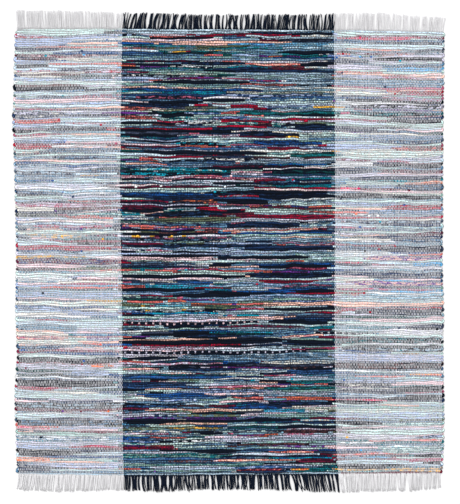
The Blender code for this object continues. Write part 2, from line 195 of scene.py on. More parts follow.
# The rags as the photograph shows them, given in its pixels. A line gives how far down its rags lie,
# then each rag's dye, its height in mean rows, its left and right ends and, if printed, the second dye.
# The word dashed means that the second dye comes in even dashes.
Rag = namedtuple("Rag", "down dye rows left right second dashed")
COURSES = """
29: ice_blue 1 122-230 grey, ice_blue 1 230-334 grey
31: mint 2 12-122, grey 1 333-448 ice_blue
32: grey 1 122-334 ice_blue, ice_blue 1 333-448 grey
33: mint 1 12-122, grey 1 122-186 lilac, black 1 245-290 navy, slate 1 290-334 grey, slate 1 330-352 cream
34: black 1 102-122, lilac 1 150-186 pale_pink, crimson 1 186-194 maroon, black 1 290-334
34: mint 2 333-448
35: black 1.5 124-147, crimson 1.5 194-245 maroon, crimson 1 245-291 maroon
36: lilac 1 12-50 slate, slate 1 52-120 lilac, periwinkle 1 122-135 slate, slate 1 135-150
36: cream 1 291-334 grey, maroon 1 352-448 lilac
37: crimson 1 16-52 lilac, black 1 148-215, charcoal 1 215-242 slate, crimson 1 294-300
38: periwinkle 1 44-122, ink_blue 1 222-256 slate, black 1 256-284 lilac, grey 1 285-334
39: lilac 1 122-222 pale_pink, hot_pink 1.5 343-413, maroon 1 413-448
40: white 1 64-122, steel 1 222-258 grey, black 1.5 286-334 charcoal
41: peach 1 122-150, crimson 1 180-212 pale_pink, slate 1 336-448 charcoal
42: peach 1.5 150-286
43: periwinkle 4 12-67, peach 1 67-122, peach 1 172-228 pale_pink
44: royal_blue 1 122-153, peach 1 153-158, ink_blue 1 158-173, peach 1 173-226 pale_pink
44: sky_blue 1 230-334 royal_blue, pale_pink 1 334-366, charcoal 1 366-448 black
46: mint 1 78-122 steel, teal 1.5 122-200 slate, olive 1 200-256 bottle_green, steel 1.5 256-334 sky_blue
47: ice_blue 2 333-448 mint
48: mint 1 122-136 slate, olive 1 136-210 slate, teal 1 210-292 slate, steel 1 292-334 ice_blue
49: charcoal 2 12-60
50: charcoal 1 60-82, salmon 1 124-160 slate, sage 1 160-205 slate, mustard 1 205-222 grey
50: slate 1 222-334 steel, peach 1 352-398 salmon
51: white 1 83-122 lilac, ice_blue 1 122-160 grey, charcoal 1 408-448
52: charcoal 1 12-48 grey, teal 1 160-167, mustard 1.5 167-184, crimson 1 184-188, teal 1 188-205
52: slate 1 205-282 sage, black 1 282-293
53: black 1.5 293-334, black 1 333-360, maroon 1 360-416 lilac
54: mint 1 12-50, peach 1 108-122, slate 1 122-166 ink_blue, black 1 166-218 bottle_green
54: teal 1 218-230 slate, turquoise 1 230-241 teal, steel 1 241-283 slate
55: slate 1 416-448 lilac
56: charcoal 1 48-68, rose 1 122-170 slate, slate 1 170-200, salmon 1 200-230 rose
56: periwinkle 1 230-260 slate, purple 1 260-268, orange 1 268-282 salmon, purple 1 284-300
56: teal 1 300-334 bottle_green
57: grey 1 122-168, mustard 1 168-173, grey 1 173-280 slate, periwinkle 1 335-372 royal_blue
57: lilac 1 372-448
58: cream 1 52-112, slate 1 122-280 sage, royal_blue 1.5 280-334 navy
59: charcoal 2 12-52 brown, grey 1 122-280 slate, cream 1 333-358
60: slate 1 200-334 grey, black 2 370-448
61: cream 1 70-122 sage, black 1 124-200 maroon, lilac 1 200-334 cream, turquoise 1 357-370 black
62: pale_pink 1 125-222 lilac, salmon 1 222-240 peach
63: periwinkle 2 12-45, teal 1 122-135, slate 1 135-180 mint, salmon 1 240-298 peach, charcoal 2 333-385
64: black 1.5 178-236 navy, black 3 298-334, mint 1 385-448 lilac
65: salmon 1 44-122, maroon 1 122-135, black 1 135-178, black 2 236-298
67: black 2 12-53, salmon 1.5 118-138 orange, purple 1.5 138-168, black 1 168-215 white, sage 1 215-228
67: turquoise 1 228-262 slate, brown 1.5 262-300 turquoise, grey 1 300-334 cream, lilac 2 333-390
67: charcoal 1 398-448
68: charcoal 1 53-122 grey
69: black 1.5 122-137, teal 1.5 137-215 slate, teal 1 232-262 turquoise, maroon 1.5 262-315 brown
69: slate 1 315-334
70: lilac 1 12-60 crimson, navy 1 215-262 black, sky_blue 2 390-448
71: slate 1 122-203 sage, black 1 203-240
72: cream 1 12-60, navy 1.2 240-333 black
73: cream 1 60-88, crimson 1 88-122 lilac, rose 1 122-145 slate, sage 1 145-235 grey
74: slate 1 122-145, grey 1 235-334 slate, peach 1 350-400
75: brown 1 12-84, sage 1 145-220 cream, peach 2 400-448 pale_pink
76: black 1 105-122 white, black 1.5 122-150 white, black 1 150-215 grey, grey 1 235-334 sage
77: cream 1 20-60, grey 1 215-334 sage, periwinkle 2 333-386 lilac
78: black 1 122-152 grey, grey 1 152-215, rose 1 386-440 lilac
79: periwinkle 2 12-58 ice_blue, charcoal 1 58-116 grey, periwinkle 1 122-165, purple 1 165-180
79: maroon 1 180-225 purple, rose 1 225-252
80: grey 1 284-334 slate
81: periwinkle 1 60-122 steel, salmon 1 148-160, royal_blue 1 250-284 crimson, white 1.5 284-295
82: royal_blue 1 122-128, black 1.5 128-250, slate 1 295-334 grey
83: lilac 1 122-155, grey 1 250-334
84: mint 2 12-122 white, slate 1 122-153 charcoal, rose 1 153-160, slate 1 295-334 grey
84: slate 3 333-448 charcoal, slate 3 334-448 grey
85: sage 1.5 160-240 mint, brown 1 240-300 salmon, black 1 300-310
86: sage 1.5 122-235 slate, black 1 246-334
87: grey 1 235-334 slate
88: black 2 12-84, peach 1 124-135, slate 1 200-334 cream
89: charcoal 1 84-122, peach 1 135-200 slate, grey 1 235-334 cream, cream 1 333-386, salmon 1 386-402
91: navy 1 122-262 royal_blue, steel 1 262-334, periwinkle 1 345-395 lilac
92: sky_blue 1 110-122, royal_blue 1 225-262 teal
93: ice_blue 2 12-122 mint, turquoise 1.5 122-225 royal_blue, royal_blue 1 225-232, cream 1 232-262 mint
93: cream 1 262-334 sage
94: mint 1 122-165, slate 1 262-334 olive, cream 2 333-392 mint, crimson 2 392-448 maroon
95: navy 1.5 122-240 ink_blue, sage 1 240-300 cream
96: rose 2 64-122 turquoise
97: slate 1 12-62 lilac, black 1.5 122-222 rose, navy 1.5 222-334 periwinkle, charcoal 1 340-384
98: sage 1 384-448 grey
99: slate 1 122-205 navy, lilac 1 205-248 white, ink_blue 1 248-334 slate
100: pale_pink 2 12-122
101: pale_pink 1 118-148 white, black 1.5 148-200, mint 1 200-248 white, slate 1 248-334 mint
101: rose 2 384-448 periwinkle
103: black 1 122-200 navy, mint 1 200-334 grey, white 2 333-384
104: mint 1 12-45 teal, periwinkle 1 45-122 slate, crimson 1 214-227
105: navy 1 122-193 black, crimson 1 193-209, charcoal 1 209-214, ice_blue 1 258-334 grey
106: crimson 2 230-258, periwinkle 1 258-315 ink_blue, white 1 384-430
107: cream 1 14-36, peach 1 64-122, pale_pink 1 122-160, charcoal 1.5 160-230 olive
107: cream 1 315-334 periwinkle
108: crimson 1 258-270 maroon, slate 1 270-316 mint, black 2 355-448 lilac
109: rose 1 12-65 charcoal, charcoal 1 65-122, brown 1.5 122-150 salmon, olive 1 150-215 cream
109: mustard 1 316-345
110: maroon 1 256-272 black, grey 1 272-320
111: black 1 122-165 slate, teal 1 165-256 bottle_green, rose 1 350-374
112: lilac 1 60-122 white, mint 1 122-152 white, pale_pink 1 272-298, crimson 1 298-302
112: mint 2 333-357 slate, peach 1 432-448
113: black 1 152-185, ink_blue 1.5 185-221 periwinkle, salmon 1.5 221-239, bottle_green 1.5 239-334 teal
114: charcoal 2 12-60 lilac, slate 1 60-96 lilac
115: lilac 1 122-160 grey, black 1.5 160-196, sage 1 196-246 mint, salmon 1 246-261, slate 1 261-290
115: black 1.5 290-334, black 2 357-448 teal
116: charcoal 1 64-122 black, charcoal 1 122-150 ice_blue
117: ice_blue 1 150-200 mint, ink_blue 1.5 200-250 periwinkle, mint 1 250-290 ice_blue, grey 1 290-334 white
118: salmon 1.5 122-156 brown, teal 1.5 156-202 mint, mint 2 333-394, maroon 1 394-448 rose
119: mint 1 60-122, slate 1 202-280 rose, crimson 1 280-334 maroon
120: salmon 2 12-62 crimson
121: crimson 1 150-186 rose, grey 1 186-223 white, crimson 1.5 223-240, maroon 1 240-262 crimson
121: crimson 1 262-273, lilac 1 273-304, crimson 1 304-309, rose 1 334-393 maroon
122: black 1 122-180
123: crimson 1 65-108 lilac, black 1 180-225 white, lilac 1 225-250, brown 1 250-290 black
123: olive 1 290-334 sage, mint 2 393-448
124: periwinkle 2 12-46, mint 1 122-150 sage, slate 1 150-190 periwinkle
125: mint 2 112-122 slate, navy 1 190-222 slate, teal 1.5 222-255 mint, maroon 1 255-272 black
125: teal 1.5 272-288 mint, black 1 288-334 navy, sage 1 334-378 mint
126: mint 1.5 122-150 slate, brown 1.5 150-175 black, black 1 175-200, mint 1 200-222, mint 1 378-448 olive
127: charcoal 1 46-80 grey, slate 1 122-222 charcoal, crimson 1 222-268, slate 1 268-288
128: rose 1 12-48 slate, black 1 122-222, navy 3 288-334 black, navy 3 334-353
129: charcoal 3 80-122 black, black 1.5 213-240 navy, grey 1 240-288 lilac, charcoal 3 333-372 navy
129: charcoal 1 372-420
130: crimson 2 106-122, crimson 1.5 122-213
131: ink_blue 1 44-80 slate, black 1 122-230, grey 1 272-334 lilac, pale_pink 1 393-448
132: pale_pink 1.5 230-272 white, grey 1 272-334 lilac
133: mint 1 12-50, charcoal 1.5 122-182 black, black 1 182-258 navy, mint 1 300-334 cream
133: charcoal 1 365-423 slate
134: rose 1 16-66 crimson, peach 1 66-122, mint 1 333-365 cream
135: black 1 122-147, lilac 1.5 182-240 rose, black 1.5 240-312 navy
136: white 1 147-182 lilac, mint 1 333-448
137: pale_pink 1 12-50 mint, mint 1 50-112 ice_blue, turquoise 1 118-132, navy 1.5 132-200 teal
137: grey 1 200-225 mint, mustard 1 286-298, mint 1.5 298-334 slate
138: black 1 224-243, mint 1 243-286 steel, slate 2 350-448 periwinkle
139: ice_blue 1 12-122, ice_blue 1 118-147 mint, grey 1 182-300 mint
140: black 1 147-182
141: periwinkle 2 12-62 slate, ice_blue 1 62-122, mint 1 182-250 slate, navy 1 250-300 royal_blue
141: sage 1 300-334, ice_blue 1 345-372
142: slate 1 122-180 grey, charcoal 2 372-448 slate
143: pale_pink 1 65-122, black 1.5 180-222 turquoise, steel 1 222-258 teal, navy 1.5 258-334 royal_blue
144: pale_pink 1 122-175 lilac
145: maroon 1 12-65 rose, rose 1 65-122 maroon, black 1 175-222, rose 1 222-266 slate
145: periwinkle 1.5 266-307 ink_blue, white 1 307-319 cream, crimson 1 319-334 rose
146: maroon 1 122-182 black, salmon 1.5 182-216 orange, maroon 1 396-448 rose
147: salmon 1 222-234 crimson, ink_blue 1.5 234-270 periwinkle, periwinkle 1.5 304-334 ink_blue
147: periwinkle 2 333-396
148: crimson 2 12-47, maroon 2 106-122 crimson, charcoal 1 122-145 slate, ink_blue 1 145-234 slate
148: maroon 1.5 270-304 crimson
149: peach 1 50-122 lilac, brown 2 397-448 salmon
150: peach 1 118-143, olive 1 143-200 brown, white 1 200-334 cream
151: slate 1 143-245 lilac, mustard 1 333-360 lilac
152: slate 2 42-122 charcoal, bottle_green 1.5 122-146 navy, black 1 240-257, mint 1 257-322 teal
152: black 1 322-334 teal
153: mint 1 12-44 peach, black 1.5 146-256
154: bottle_green 1.5 256-334 teal, mint 3 333-448 cream
155: mint 1 12-122, lilac 1 122-182 grey, charcoal 1 182-212 maroon, crimson 1 212-217
155: charcoal 1 217-254 maroon, mint 1 256-290 white
156: crimson 1 145-200 maroon
157: sage 1 122-145 mint, navy 1 200-256 charcoal, brown 1.5 256-300 black, brown 1.5 300-334 maroon
158: slate 2 12-55 ice_blue, charcoal 2 55-122 slate, maroon 1 333-386 lilac, lilac 2 386-448 slate
159: purple 1 118-138, salmon 1.5 140-156, black 1.5 156-210 slate, black 1.5 210-252 white
159: grey 1 252-334 lilac
161: slate 1 122-157 ink_blue, purple 1 157-160, slate 1 160-236 ink_blue, white 1 236-243
161: grey 1.5 243-334 slate, rose 1 370-410
162: pale_pink 1 12-122 peach
163: peach 1 118-150, slate 1 165-212 grey, grey 1 243-270 slate, maroon 1 408-448 rose
164: mint 1 44-122, peach 1 150-165 salmon, charcoal 1 212-270 slate, white 3 336-374
165: slate 1 122-212 periwinkle, royal_blue 1 270-325 teal, black 1 374-405
166: slate 2 12-60 ice_blue, black 1.5 245-300 maroon, black 3 405-448
167: lilac 1 60-122 slate, navy 1 122-160 steel, slate 1 160-245 lilac
168: turquoise 1 160-198 black, black 1 198-262, cream 1 298-334 pale_pink, mint 1 374-402 teal
169: ice_blue 1 12-80 lilac
170: turquoise 1 122-232 mint, sage 1 232-262 grey, black 1 262-334
171: bottle_green 1 122-150 black, black 1.5 272-334 bottle_green, charcoal 3 333-374
171: maroon 2 374-448 charcoal
172: charcoal 2 72-122 slate, teal 1.5 150-228 bottle_green, pale_pink 1.5 228-262 rose, rose 1 262-272
174: charcoal 2 12-72 grey, black 1.5 122-200 turquoise, black 1 200-230 navy, lilac 1 230-272 black
174: navy 1.5 272-334 bottle_green
175: mustard 1 76-100 peach, pale_pink 1 374-448
176: lilac 1 122-190 pale_pink, rose 1 190-228 salmon, slate 1 228-258, periwinkle 1.5 258-334 ink_blue
177: pale_pink 1.5 122-147 rose
178: rose 1.5 147-262 pale_pink, black 1 262-285 rose, teal 1 285-334 turquoise
179: ice_blue 2 12-80 slate, pale_pink 1 147-170, navy 1 293-334, steel 1 333-362 sky_blue
179: charcoal 2 356-448
180: mint 2 60-122 ice_blue, black 1 118-147, black 1 170-228 charcoal, brown 1 228-255 peach
180: crimson 1.5 255-293 maroon
181: sky_blue 1 293-334 ice_blue, sky_blue 1 334-365
182: white 1 118-138 mint, ice_blue 1.5 138-262 lilac, navy 1 262-300 slate, grey 1 300-334 brown
183: steel 1 18-34 mint, mint 2 341-398, orange 2 404-448 peach
184: charcoal 1 122-170 slate, slate 1 170-213 grey, black 1.5 213-240, black 1.5 240-334 navy
185: lilac 2 12-122 ice_blue
186: maroon 1 103-122 black, pale_pink 1 118-165 white, grey 1 165-222 lilac
187: black 1 222-262, turquoise 1.5 262-334 teal, slate 2 356-398 periwinkle
188: white 1 12-122 lilac, maroon 1 122-222 black, black 1 222-250, charcoal 4 398-448 slate
189: crimson 1 250-270, black 1 270-290 crimson, crimson 1 290-325
190: steel 1 122-225 mint, grey 1 225-255, hot_pink 2 341-357
191: pale_pink 1 255-334 cream
192: navy 2 12-64 slate, white 1 64-122 periwinkle, black 1 122-160, black 1 160-213 white
192: black 1 213-250 teal, pale_pink 1 334-448
193: black 2 250-334
194: slate 1 64-122 charcoal, royal_blue 1.5 122-213 navy
195: black 1.5 213-334 navy, sage 1 398-448
196: navy 1 122-213 black, black 3 333-398
197: mint 2 12-72, lilac 1 72-122, black 1.5 255-334
198: slate 1 122-188 grey, periwinkle 1 188-213 lilac, navy 1 213-255, black 2 398-448
199: mint 1 122-145 sage, navy 1 145-213 black, ink_blue 1 213-275, white 1 275-334 grey
201: rose 1 88-122 maroon, maroon 1.5 120-172 crimson, brown 1.5 172-218 orange, black 1.5 214-278
201: grey 1 275-334 black
202: charcoal 1 12-85 navy, mint 1 333-448
203: olive 1 85-122 grey, black 1 104-122, black 1 122-218 charcoal, black 1.5 228-266, mint 1 276-334 slate
204: periwinkle 2 333-402 slate, ice_blue 1 402-448 white
205: lilac 1.5 122-217 periwinkle, mint 1 274-334 ice_blue
206: rose 2 12-110 lilac, ink_blue 1 217-264 royal_blue
207: maroon 1 122-165, black 1 165-215, charcoal 1 215-248 slate, salmon 1 248-264 brown, purple 1.5 264-276
207: brown 1 276-292 salmon, purple 1 292-308 royal_blue, salmon 1 308-334 orange
208: black 1.5 120-167 maroon, white 1 167-182 mint, grey 1 182-250 lilac, crimson 2 380-448 maroon
209: maroon 1 250-334 bottle_green, peach 1 340-380
210: cream 2 12-54, black 1.5 122-167, teal 1 167-198 mint, crimson 1.5 198-216, crimson 1 216-225 black
210: black 1 225-240, crimson 1 240-244
211: lilac 1 96-120 rose, mint 2 244-308 sage, mint 1 308-334
212: peach 1 75-95 lilac, pale_pink 1 120-165 peach, ice_blue 1 180-198 white, slate 2 370-448 periwinkle
213: black 1 165-180 bottle_green, black 1 198-244, mint 1 244-308, brown 1 308-334 salmon, salmon 1 333-368
214: olive 2 12-62 charcoal, teal 1 62-122 mint, turquoise 1.5 118-141 mint
215: black 2 141-224 navy, maroon 1 224-254 brown, grey 1 254-334 mint, charcoal 1 345-384 white
216: salmon 1 64-100 brown, grey 1 120-160 white
217: brown 1 160-180 salmon, slate 1 180-205 ink_blue, maroon 1 205-232, maroon 2 232-334 crimson
218: salmon 1 65-122, white 1 120-148 royal_blue, slate 1 148-165, crimson 1 333-448 rose
219: lilac 1 12-60 periwinkle, white 1 60-120 slate
220: bottle_green 1 120-148 charcoal, olive 1.5 148-228
221: lilac 1.5 228-334 grey
222: cream 1 12-118 pale_pink, charcoal 1 120-228 sage, maroon 1 334-448 lilac, charcoal 2 345-448 grey
223: grey 1 228-300 lilac, black 1 300-316 white, slate 1 316-334 black
224: pale_pink 1 120-135 black, navy 1 135-228 slate
225: rose 1 30-112 grey, black 2 228-293 navy, slate 2 293-334 mint
226: salmon 1 122-205 slate, slate 1 205-228, ice_blue 2 333-380
227: steel 1 12-38, salmon 1 40-62 purple, purple 1 66-84, steel 2 380-448 mint
228: salmon 1 88-106 lilac, purple 1.5 120-133, lilac 1 133-142, salmon 1 142-157 orange
228: purple 1 157-198 lilac, rose 1 198-228 salmon, grey 1 228-334 pale_pink
229: rose 1 333-380 slate
230: peach 1 28-60 slate, black 1 120-200 navy, brown 1 200-218 black, peach 1.5 228-318 salmon
230: maroon 1 318-334 black
231: slate 1 333-448 charcoal
232: mint 2 12-112 cream, white 1 120-142 mint, olive 1 142-160, brown 1 160-180 black
232: olive 1 180-197 brown, brown 1.5 197-218 salmon, royal_blue 1 218-232 sky_blue, mint 1 232-300 lilac
232: navy 1 300-334
234: black 1 120-218, navy 1 218-230, royal_blue 1.5 230-334
235: peach 1 334-387, maroon 2 390-448 charcoal
236: grey 2 20-80 mustard, charcoal 1 86-122 rose, lilac 1 120-132 white, mustard 1 132-139
236: lilac 1 139-150 white, mustard 1 150-157, black 1 157-165, lilac 1 165-169, mustard 1 169-174
236: white 1 174-182, mustard 1 182-188, lilac 1 188-225 white, sage 1 225-334 ice_blue
237: ice_blue 1 228-334 grey
238: charcoal 1 120-228 rose, peach 1 278-334 cream
239: charcoal 1 12-33, cream 1 333-400
240: pale_pink 1 33-52, teal 1 68-110, black 1 120-228 slate, slate 1 228-334 grey
241: lilac 1 122-165 slate, sage 1 165-205 mint, black 1 205-225 white, grey 1 225-247 mint, black 1 247-253
241: navy 1.5 253-278 black, charcoal 2 398-448 slate
242: brown 1 50-122 rose, grey 1 278-334 slate, white 1 350-398 charcoal
243: maroon 1 120-165, black 1 165-185 slate, slate 1 185-252 navy
244: ice_blue 2 12-70 mint, black 1 72-122, olive 1 185-206, periwinkle 1 206-278 slate
244: slate 1 278-334 rose
245: charcoal 1 120-185 slate, maroon 1 333-396 rose
246: black 1 120-278 navy, salmon 1 278-286, rose 1 286-334 pale_pink
248: crimson 2 12-112 rose, ice_blue 1 120-150 slate, slate 1 150-248 periwinkle, navy 1.5 248-334
248: charcoal 3 380-448 black
249: slate 2 330-380 charcoal
250: lilac 1 120-145 white, rose 1 145-178 lilac, grey 1 178-243 periwinkle, black 1 243-334 navy
252: grey 1 12-122 charcoal, black 1.5 118-138, mint 1 138-182 sage, black 1 182-222
252: grey 1 222-334 periwinkle
253: salmon 1 400-448
254: lilac 1 12-84 grey, black 1 120-150, mint 1 150-192 lilac, navy 1 192-230 slate, slate 1 230-300 grey
254: mint 1 300-334 slate
255: black 1 140-218, white 3 333-400 ice_blue
256: white 1 83-122 pale_pink, black 1.5 218-310
257: mustard 2 12-84 steel, pale_pink 1.5 118-220, ice_blue 1.5 310-334 slate
258: pale_pink 1 100-122
259: steel 1 60-100 teal, pale_pink 1 160-220, pale_pink 1.5 220-285 lilac, sage 1 285-334 ice_blue
259: purple 2 376-448 peach
260: mint 1 333-376
261: lilac 1 120-132 mint, sage 1 132-180 cream, mint 1 180-245 grey, grey 1 245-289 mint
261: orange 1 289-304 rose, mint 1 304-334 slate
262: maroon 2 12-122 ink_blue, crimson 1 120-127, olive 1 127-180 grey, hot_pink 1 335-361
262: ice_blue 1 361-413
263: crimson 1 127-136, charcoal 1 136-198 slate, white 1 198-215 mint, navy 1.5 215-237 black
263: slate 1.5 237-334 charcoal
265: charcoal 1 120-180 slate, lilac 1 180-210 grey, black 1 210-232, slate 1 232-255
265: royal_blue 1.5 255-334 navy, charcoal 1 333-372, sky_blue 2 413-448
266: pale_pink 2 12-90
267: charcoal 1 90-122 grey, navy 1 120-200 black, peach 1 200-256 pale_pink, black 1.5 256-334
267: white 2 372-448 lilac
269: brown 2 12-50 charcoal, rose 1 160-195 lilac, white 1 195-206 mint, rose 1 206-222
269: slate 1 222-285 periwinkle, maroon 1 285-334 rose
270: salmon 1 50-122 lilac, salmon 1 118-146, turquoise 1 146-197 mint, crimson 1.5 204-222 rose
270: steel 1 370-418
271: salmon 1 145-180, purple 1 180-204 rose
272: brown 1 178-222 salmon, salmon 1.5 222-262, orange 1 262-279 salmon, purple 1 280-312 maroon
272: slate 1 312-334, grey 1 333-448 charcoal
273: sage 1.5 120-178 mint, mint 1 178-250 sage
274: mint 1 120-245 ice_blue
275: mint 2 12-122 white, black 3 248-334 navy
276: black 1.5 118-248, pale_pink 1 333-365, charcoal 2 413-448 slate
277: periwinkle 1 70-94
278: sage 1 122-180 slate, grey 1 180-256 pale_pink
279: white 2 12-70 ice_blue, pale_pink 1 70-122, pale_pink 1 120-225 lilac, black 1 225-233 white
279: grey 1 233-334 mint, mint 1 333-375, pale_pink 1 375-448
280: purple 1 315-334 lilac
281: charcoal 1 120-141, cream 1 141-170 lilac, navy 1 170-205 slate, grey 1 205-265 lilac
281: crimson 1.5 265-318 maroon
282: slate 1 12-60 mint
283: rose 1 64-122, rose 1 120-136, charcoal 1 136-172 navy, ink_blue 1.5 172-222 royal_blue
283: slate 1 222-334 periwinkle, purple 2 350-448 peach
284: pale_pink 1 12-60
285: sky_blue 1 88-122, sky_blue 1 120-150 steel, ink_blue 1 150-210 slate, slate 1 210-280 grey
285: charcoal 1 280-334 rose
286: turquoise 1.5 146-208 sky_blue, cream 2 333-368, charcoal 1 368-413
287: salmon 1 45-122, salmon 1.5 118-146 brown, crimson 1 208-233 bottle_green, grey 1 233-262 slate
287: lilac 1 262-282 pale_pink, navy 1 282-334 slate
288: crimson 1 190-208, ice_blue 1 233-262, sage 1 413-448 olive
289: ink_blue 1 12-50 steel, black 1.5 120-190, royal_blue 1 262-334 navy, rose 1 333-430 grey
290: charcoal 1 50-116 teal, black 1 190-206, turquoise 1.5 206-232 royal_blue
291: royal_blue 1 232-300 navy, black 2 300-334
292: grey 1 12-42 charcoal, slate 1.5 120-212 ink_blue
293: black 1.5 212-284, crimson 1 284-334, crimson 1 334-365, white 1 365-448
294: slate 1 120-175 periwinkle, black 1 212-284
295: periwinkle 3 12-122 steel, slate 1 284-334 periwinkle
296: cream 1 122-141 mint, crimson 1 141-172, black 1.5 173-255, slate 1 255-334 periwinkle
296: steel 2 365-448 ice_blue
298: charcoal 1 120-175 sage, slate 1.5 175-334 periwinkle
299: pale_pink 1 12-90
300: salmon 1.5 168-184 orange, purple 1 184-208, rose 1 208-216, grey 1 216-268 slate, sage 1 268-334
300: grey 2 333-448 mint
301: charcoal 1 12-82 slate, salmon 1 122-168
302: mustard 1 83-122, slate 1 185-240, sage 1 240-275 olive, ink_blue 1 275-334 periwinkle
303: grey 1 122-170 cream
304: cream 2 12-122 mint, sage 1 122-160 olive, slate 1 160-190 mint, orange 1 190-205, salmon 1.5 205-230
304: purple 1 230-238, salmon 1 238-270, purple 1 270-281
305: peach 1.5 262-334, peach 2 334-448
306: olive 1 120-139, mustard 1 139-144, olive 1 144-150, steel 1 150-190 turquoise, brown 1 190-200
306: olive 1.5 200-236 bottle_green, olive 1 236-262 sage
307: mint 1 262-300 ice_blue, grey 1 300-334 slate
308: mint 1 120-205 teal, ice_blue 1 333-380, black 1 334-355
309: periwinkle 2 12-72 slate, cream 1 72-122 pale_pink, salmon 1 250-270 rose, black 1 270-334
309: crimson 1 376-430 rose
310: grey 1 120-134 white, black 1 134-140, grey 1 140-146, mustard 1 146-151, grey 1 151-181 white
310: mustard 1 181-186, grey 1 186-205, black 1 205-224, purple 1 224-238, rose 1 238-256 crimson
311: black 1 186-224 white, grey 1 224-303, crimson 1 334-372
312: ice_blue 1 12-60, ink_blue 1 120-142 periwinkle, black 1 142-165 white, grey 1 220-303 mint
312: crimson 1 303-334 maroon
313: charcoal 3 350-448 black
314: periwinkle 2 60-122, royal_blue 1 128-152, turquoise 1.5 152-222 royal_blue, grey 1 222-240 mint
314: charcoal 1.5 262-334 slate
315: turquoise 1 236-262
316: black 1 120-160, grey 1.5 160-222 lilac, cream 1 222-262 white, charcoal 1.5 262-334 navy
317: white 1 12-90
318: slate 1 90-122, mint 1 120-160 sage, lilac 1 160-226 grey, peach 1.5 226-288 pale_pink
318: ink_blue 1 288-334 navy
320: mint 1 12-35, rose 1 120-150 lilac, lilac 1 150-226 pale_pink, grey 1 226-275 white
320: black 1 275-334 navy, pale_pink 3 350-448
321: rose 1 36-70 crimson
322: black 1 122-262 pale_pink dashed, black 1.5 262-334, mint 1 333-448
324: crimson 1 122-156 black, black 1 156-334 navy
325: navy 1.5 190-226 black, grey 1 226-334 mint
326: mint 1 120-165 grey, slate 1 165-190, charcoal 2 398-448
327: steel 1 120-165 mint, black 1 165-212, maroon 1 212-305 charcoal, turquoise 1.5 309-334 teal
327: steel 2 334-398 teal
328: steel 3 12-76 slate, sage 1 135-205 mint
329: lilac 2 76-122 ice_blue, black 1 120-150 slate, grey 1 205-309 lilac
330: ink_blue 1 140-232 royal_blue, slate 1 232-310 steel, crimson 1 318-334 black
331: white 1 120-172 mint, white 2 385-448 lilac
332: sky_blue 1 136-146, rose 1 172-200 cream, steel 1 232-334
333: pale_pink 1 70-122, mint 1 120-138 lilac, charcoal 1 138-176, black 1.5 176-208
333: royal_blue 1 208-240 turquoise, turquoise 1 240-275 sky_blue, ink_blue 1.5 275-316 steel
334: black 1 140-210, black 1 300-380 white dashed, white 1 380-448
335: cream 2 12-72, bottle_green 1.5 210-275 black
336: salmon 1 118-132, purple 1 132-150, slate 1 150-172 lilac, black 1 172-190, navy 1.5 190-245 black
336: ink_blue 1 245-282 slate, mint 1 333-448
337: peach 1 64-86 brown, peach 1 282-334 rose
338: rose 2 12-64 peach, purple 1 86-110 lilac, black 1 122-150, ice_blue 1 150-190 white, black 1 190-216
339: peach 1 216-240, charcoal 1 240-268, white 1 268-284 mint, sage 1 284-334
340: grey 1 120-140, black 1 140-215, slate 1 240-268, black 3 333-448 teal
341: lilac 1 84-122 slate, peach 1 118-216, black 1.5 216-284, black 2 284-334
343: cream 2 12-80 mint, peach 1 80-122, black 1.5 120-284, black 1.5 284-334 navy
344: crimson 1 185-242 black, white 1 345-448 lilac
345: crimson 1 120-185 black, black 2 242-284 navy
346: slate 1 60-122 charcoal, crimson 1 112-122, crimson 1 122-185 black, black 1 185-250
346: sage 1 284-334 grey
347: navy 2 12-60 slate
348: crimson 1 121-128, lilac 1.5 128-205 rose, lilac 1 205-250 white, grey 1 250-300 black
348: rose 1.5 300-345 hot_pink
350: pale_pink 1 55-112, pale_pink 1 118-200 lilac, black 1 310-334, black 2 333-448 grey
351: black 1 104-310 lilac dashed
352: maroon 1 12-118 rose, sage 1 310-334 grey
353: pale_pink 1 122-183 grey, slate 1 183-334 grey, mustard 1 356-365, mustard 1 402-418
354: black 1 183-250, slate 1 250-334 ice_blue
355: lilac 1.5 120-181 white, slate 1 181-334 ice_blue
356: mint 2 12-102 white
357: black 1.5 120-181, slate 1.5 181-334 grey
358: black 1 105-122, periwinkle 4 333-448 lilac
359: brown 1 118-134 black, lilac 1 134-181 mint, slate 1 181-334 grey
360: black 3 12-122
361: navy 1 150-224 bottle_green, royal_blue 1 224-228, slate 1 228-262 ink_blue, maroon 1 262-270
361: grey 1 270-334 cream
362: salmon 1.5 118-150 brown
363: salmon 1 84-122 brown, brown 1 150-228 maroon, navy 1 228-250, cream 1 250-334 grey
364: crimson 1 12-80 lilac, lilac 1 120-232 rose
365: charcoal 1.5 232-334 black
366: orange 1 85-120 sage, black 1 165-232, charcoal 4 333-448 black, black 3 334-448 brown
367: black 1.5 232-334 brown
368: lilac 2 12-95 grey, sage 1 120-145 teal, black 1 145-165, black 1.5 165-208 charcoal
368: maroon 1 208-222 purple, purple 1.5 222-291 maroon, black 1 291-334
369: peach 1 122-163 rose
370: mint 2 95-122, navy 1.5 163-232 black, slate 1 232-290 white
371: lilac 1 120-163 mint, ink_blue 2 290-334 navy
372: lilac 1 12-65 grey, slate 1 185-256 grey, black 1 256-266, navy 1 266-290 black, ink_blue 1 334-354
373: periwinkle 2 65-110 slate, mint 1 120-160 ice_blue, teal 1 354-402 mint
374: white 1 160-195 peach, cream 1 195-262 slate
375: slate 1 120-150 charcoal, navy 1 150-230 teal, rose 1 262-279 crimson, rose 1 279-296 pale_pink
375: slate 1 296-334 teal, salmon 1 410-440 mustard
377: black 1 40-86, ink_blue 2 112-122, ink_blue 1.5 118-235 royal_blue, navy 1 235-264
377: lilac 1 264-334 grey, salmon 1 358-402 pale_pink
379: white 1 12-122 ice_blue, slate 1 120-150, olive 1 150-200 sage, ice_blue 1 200-216 mint
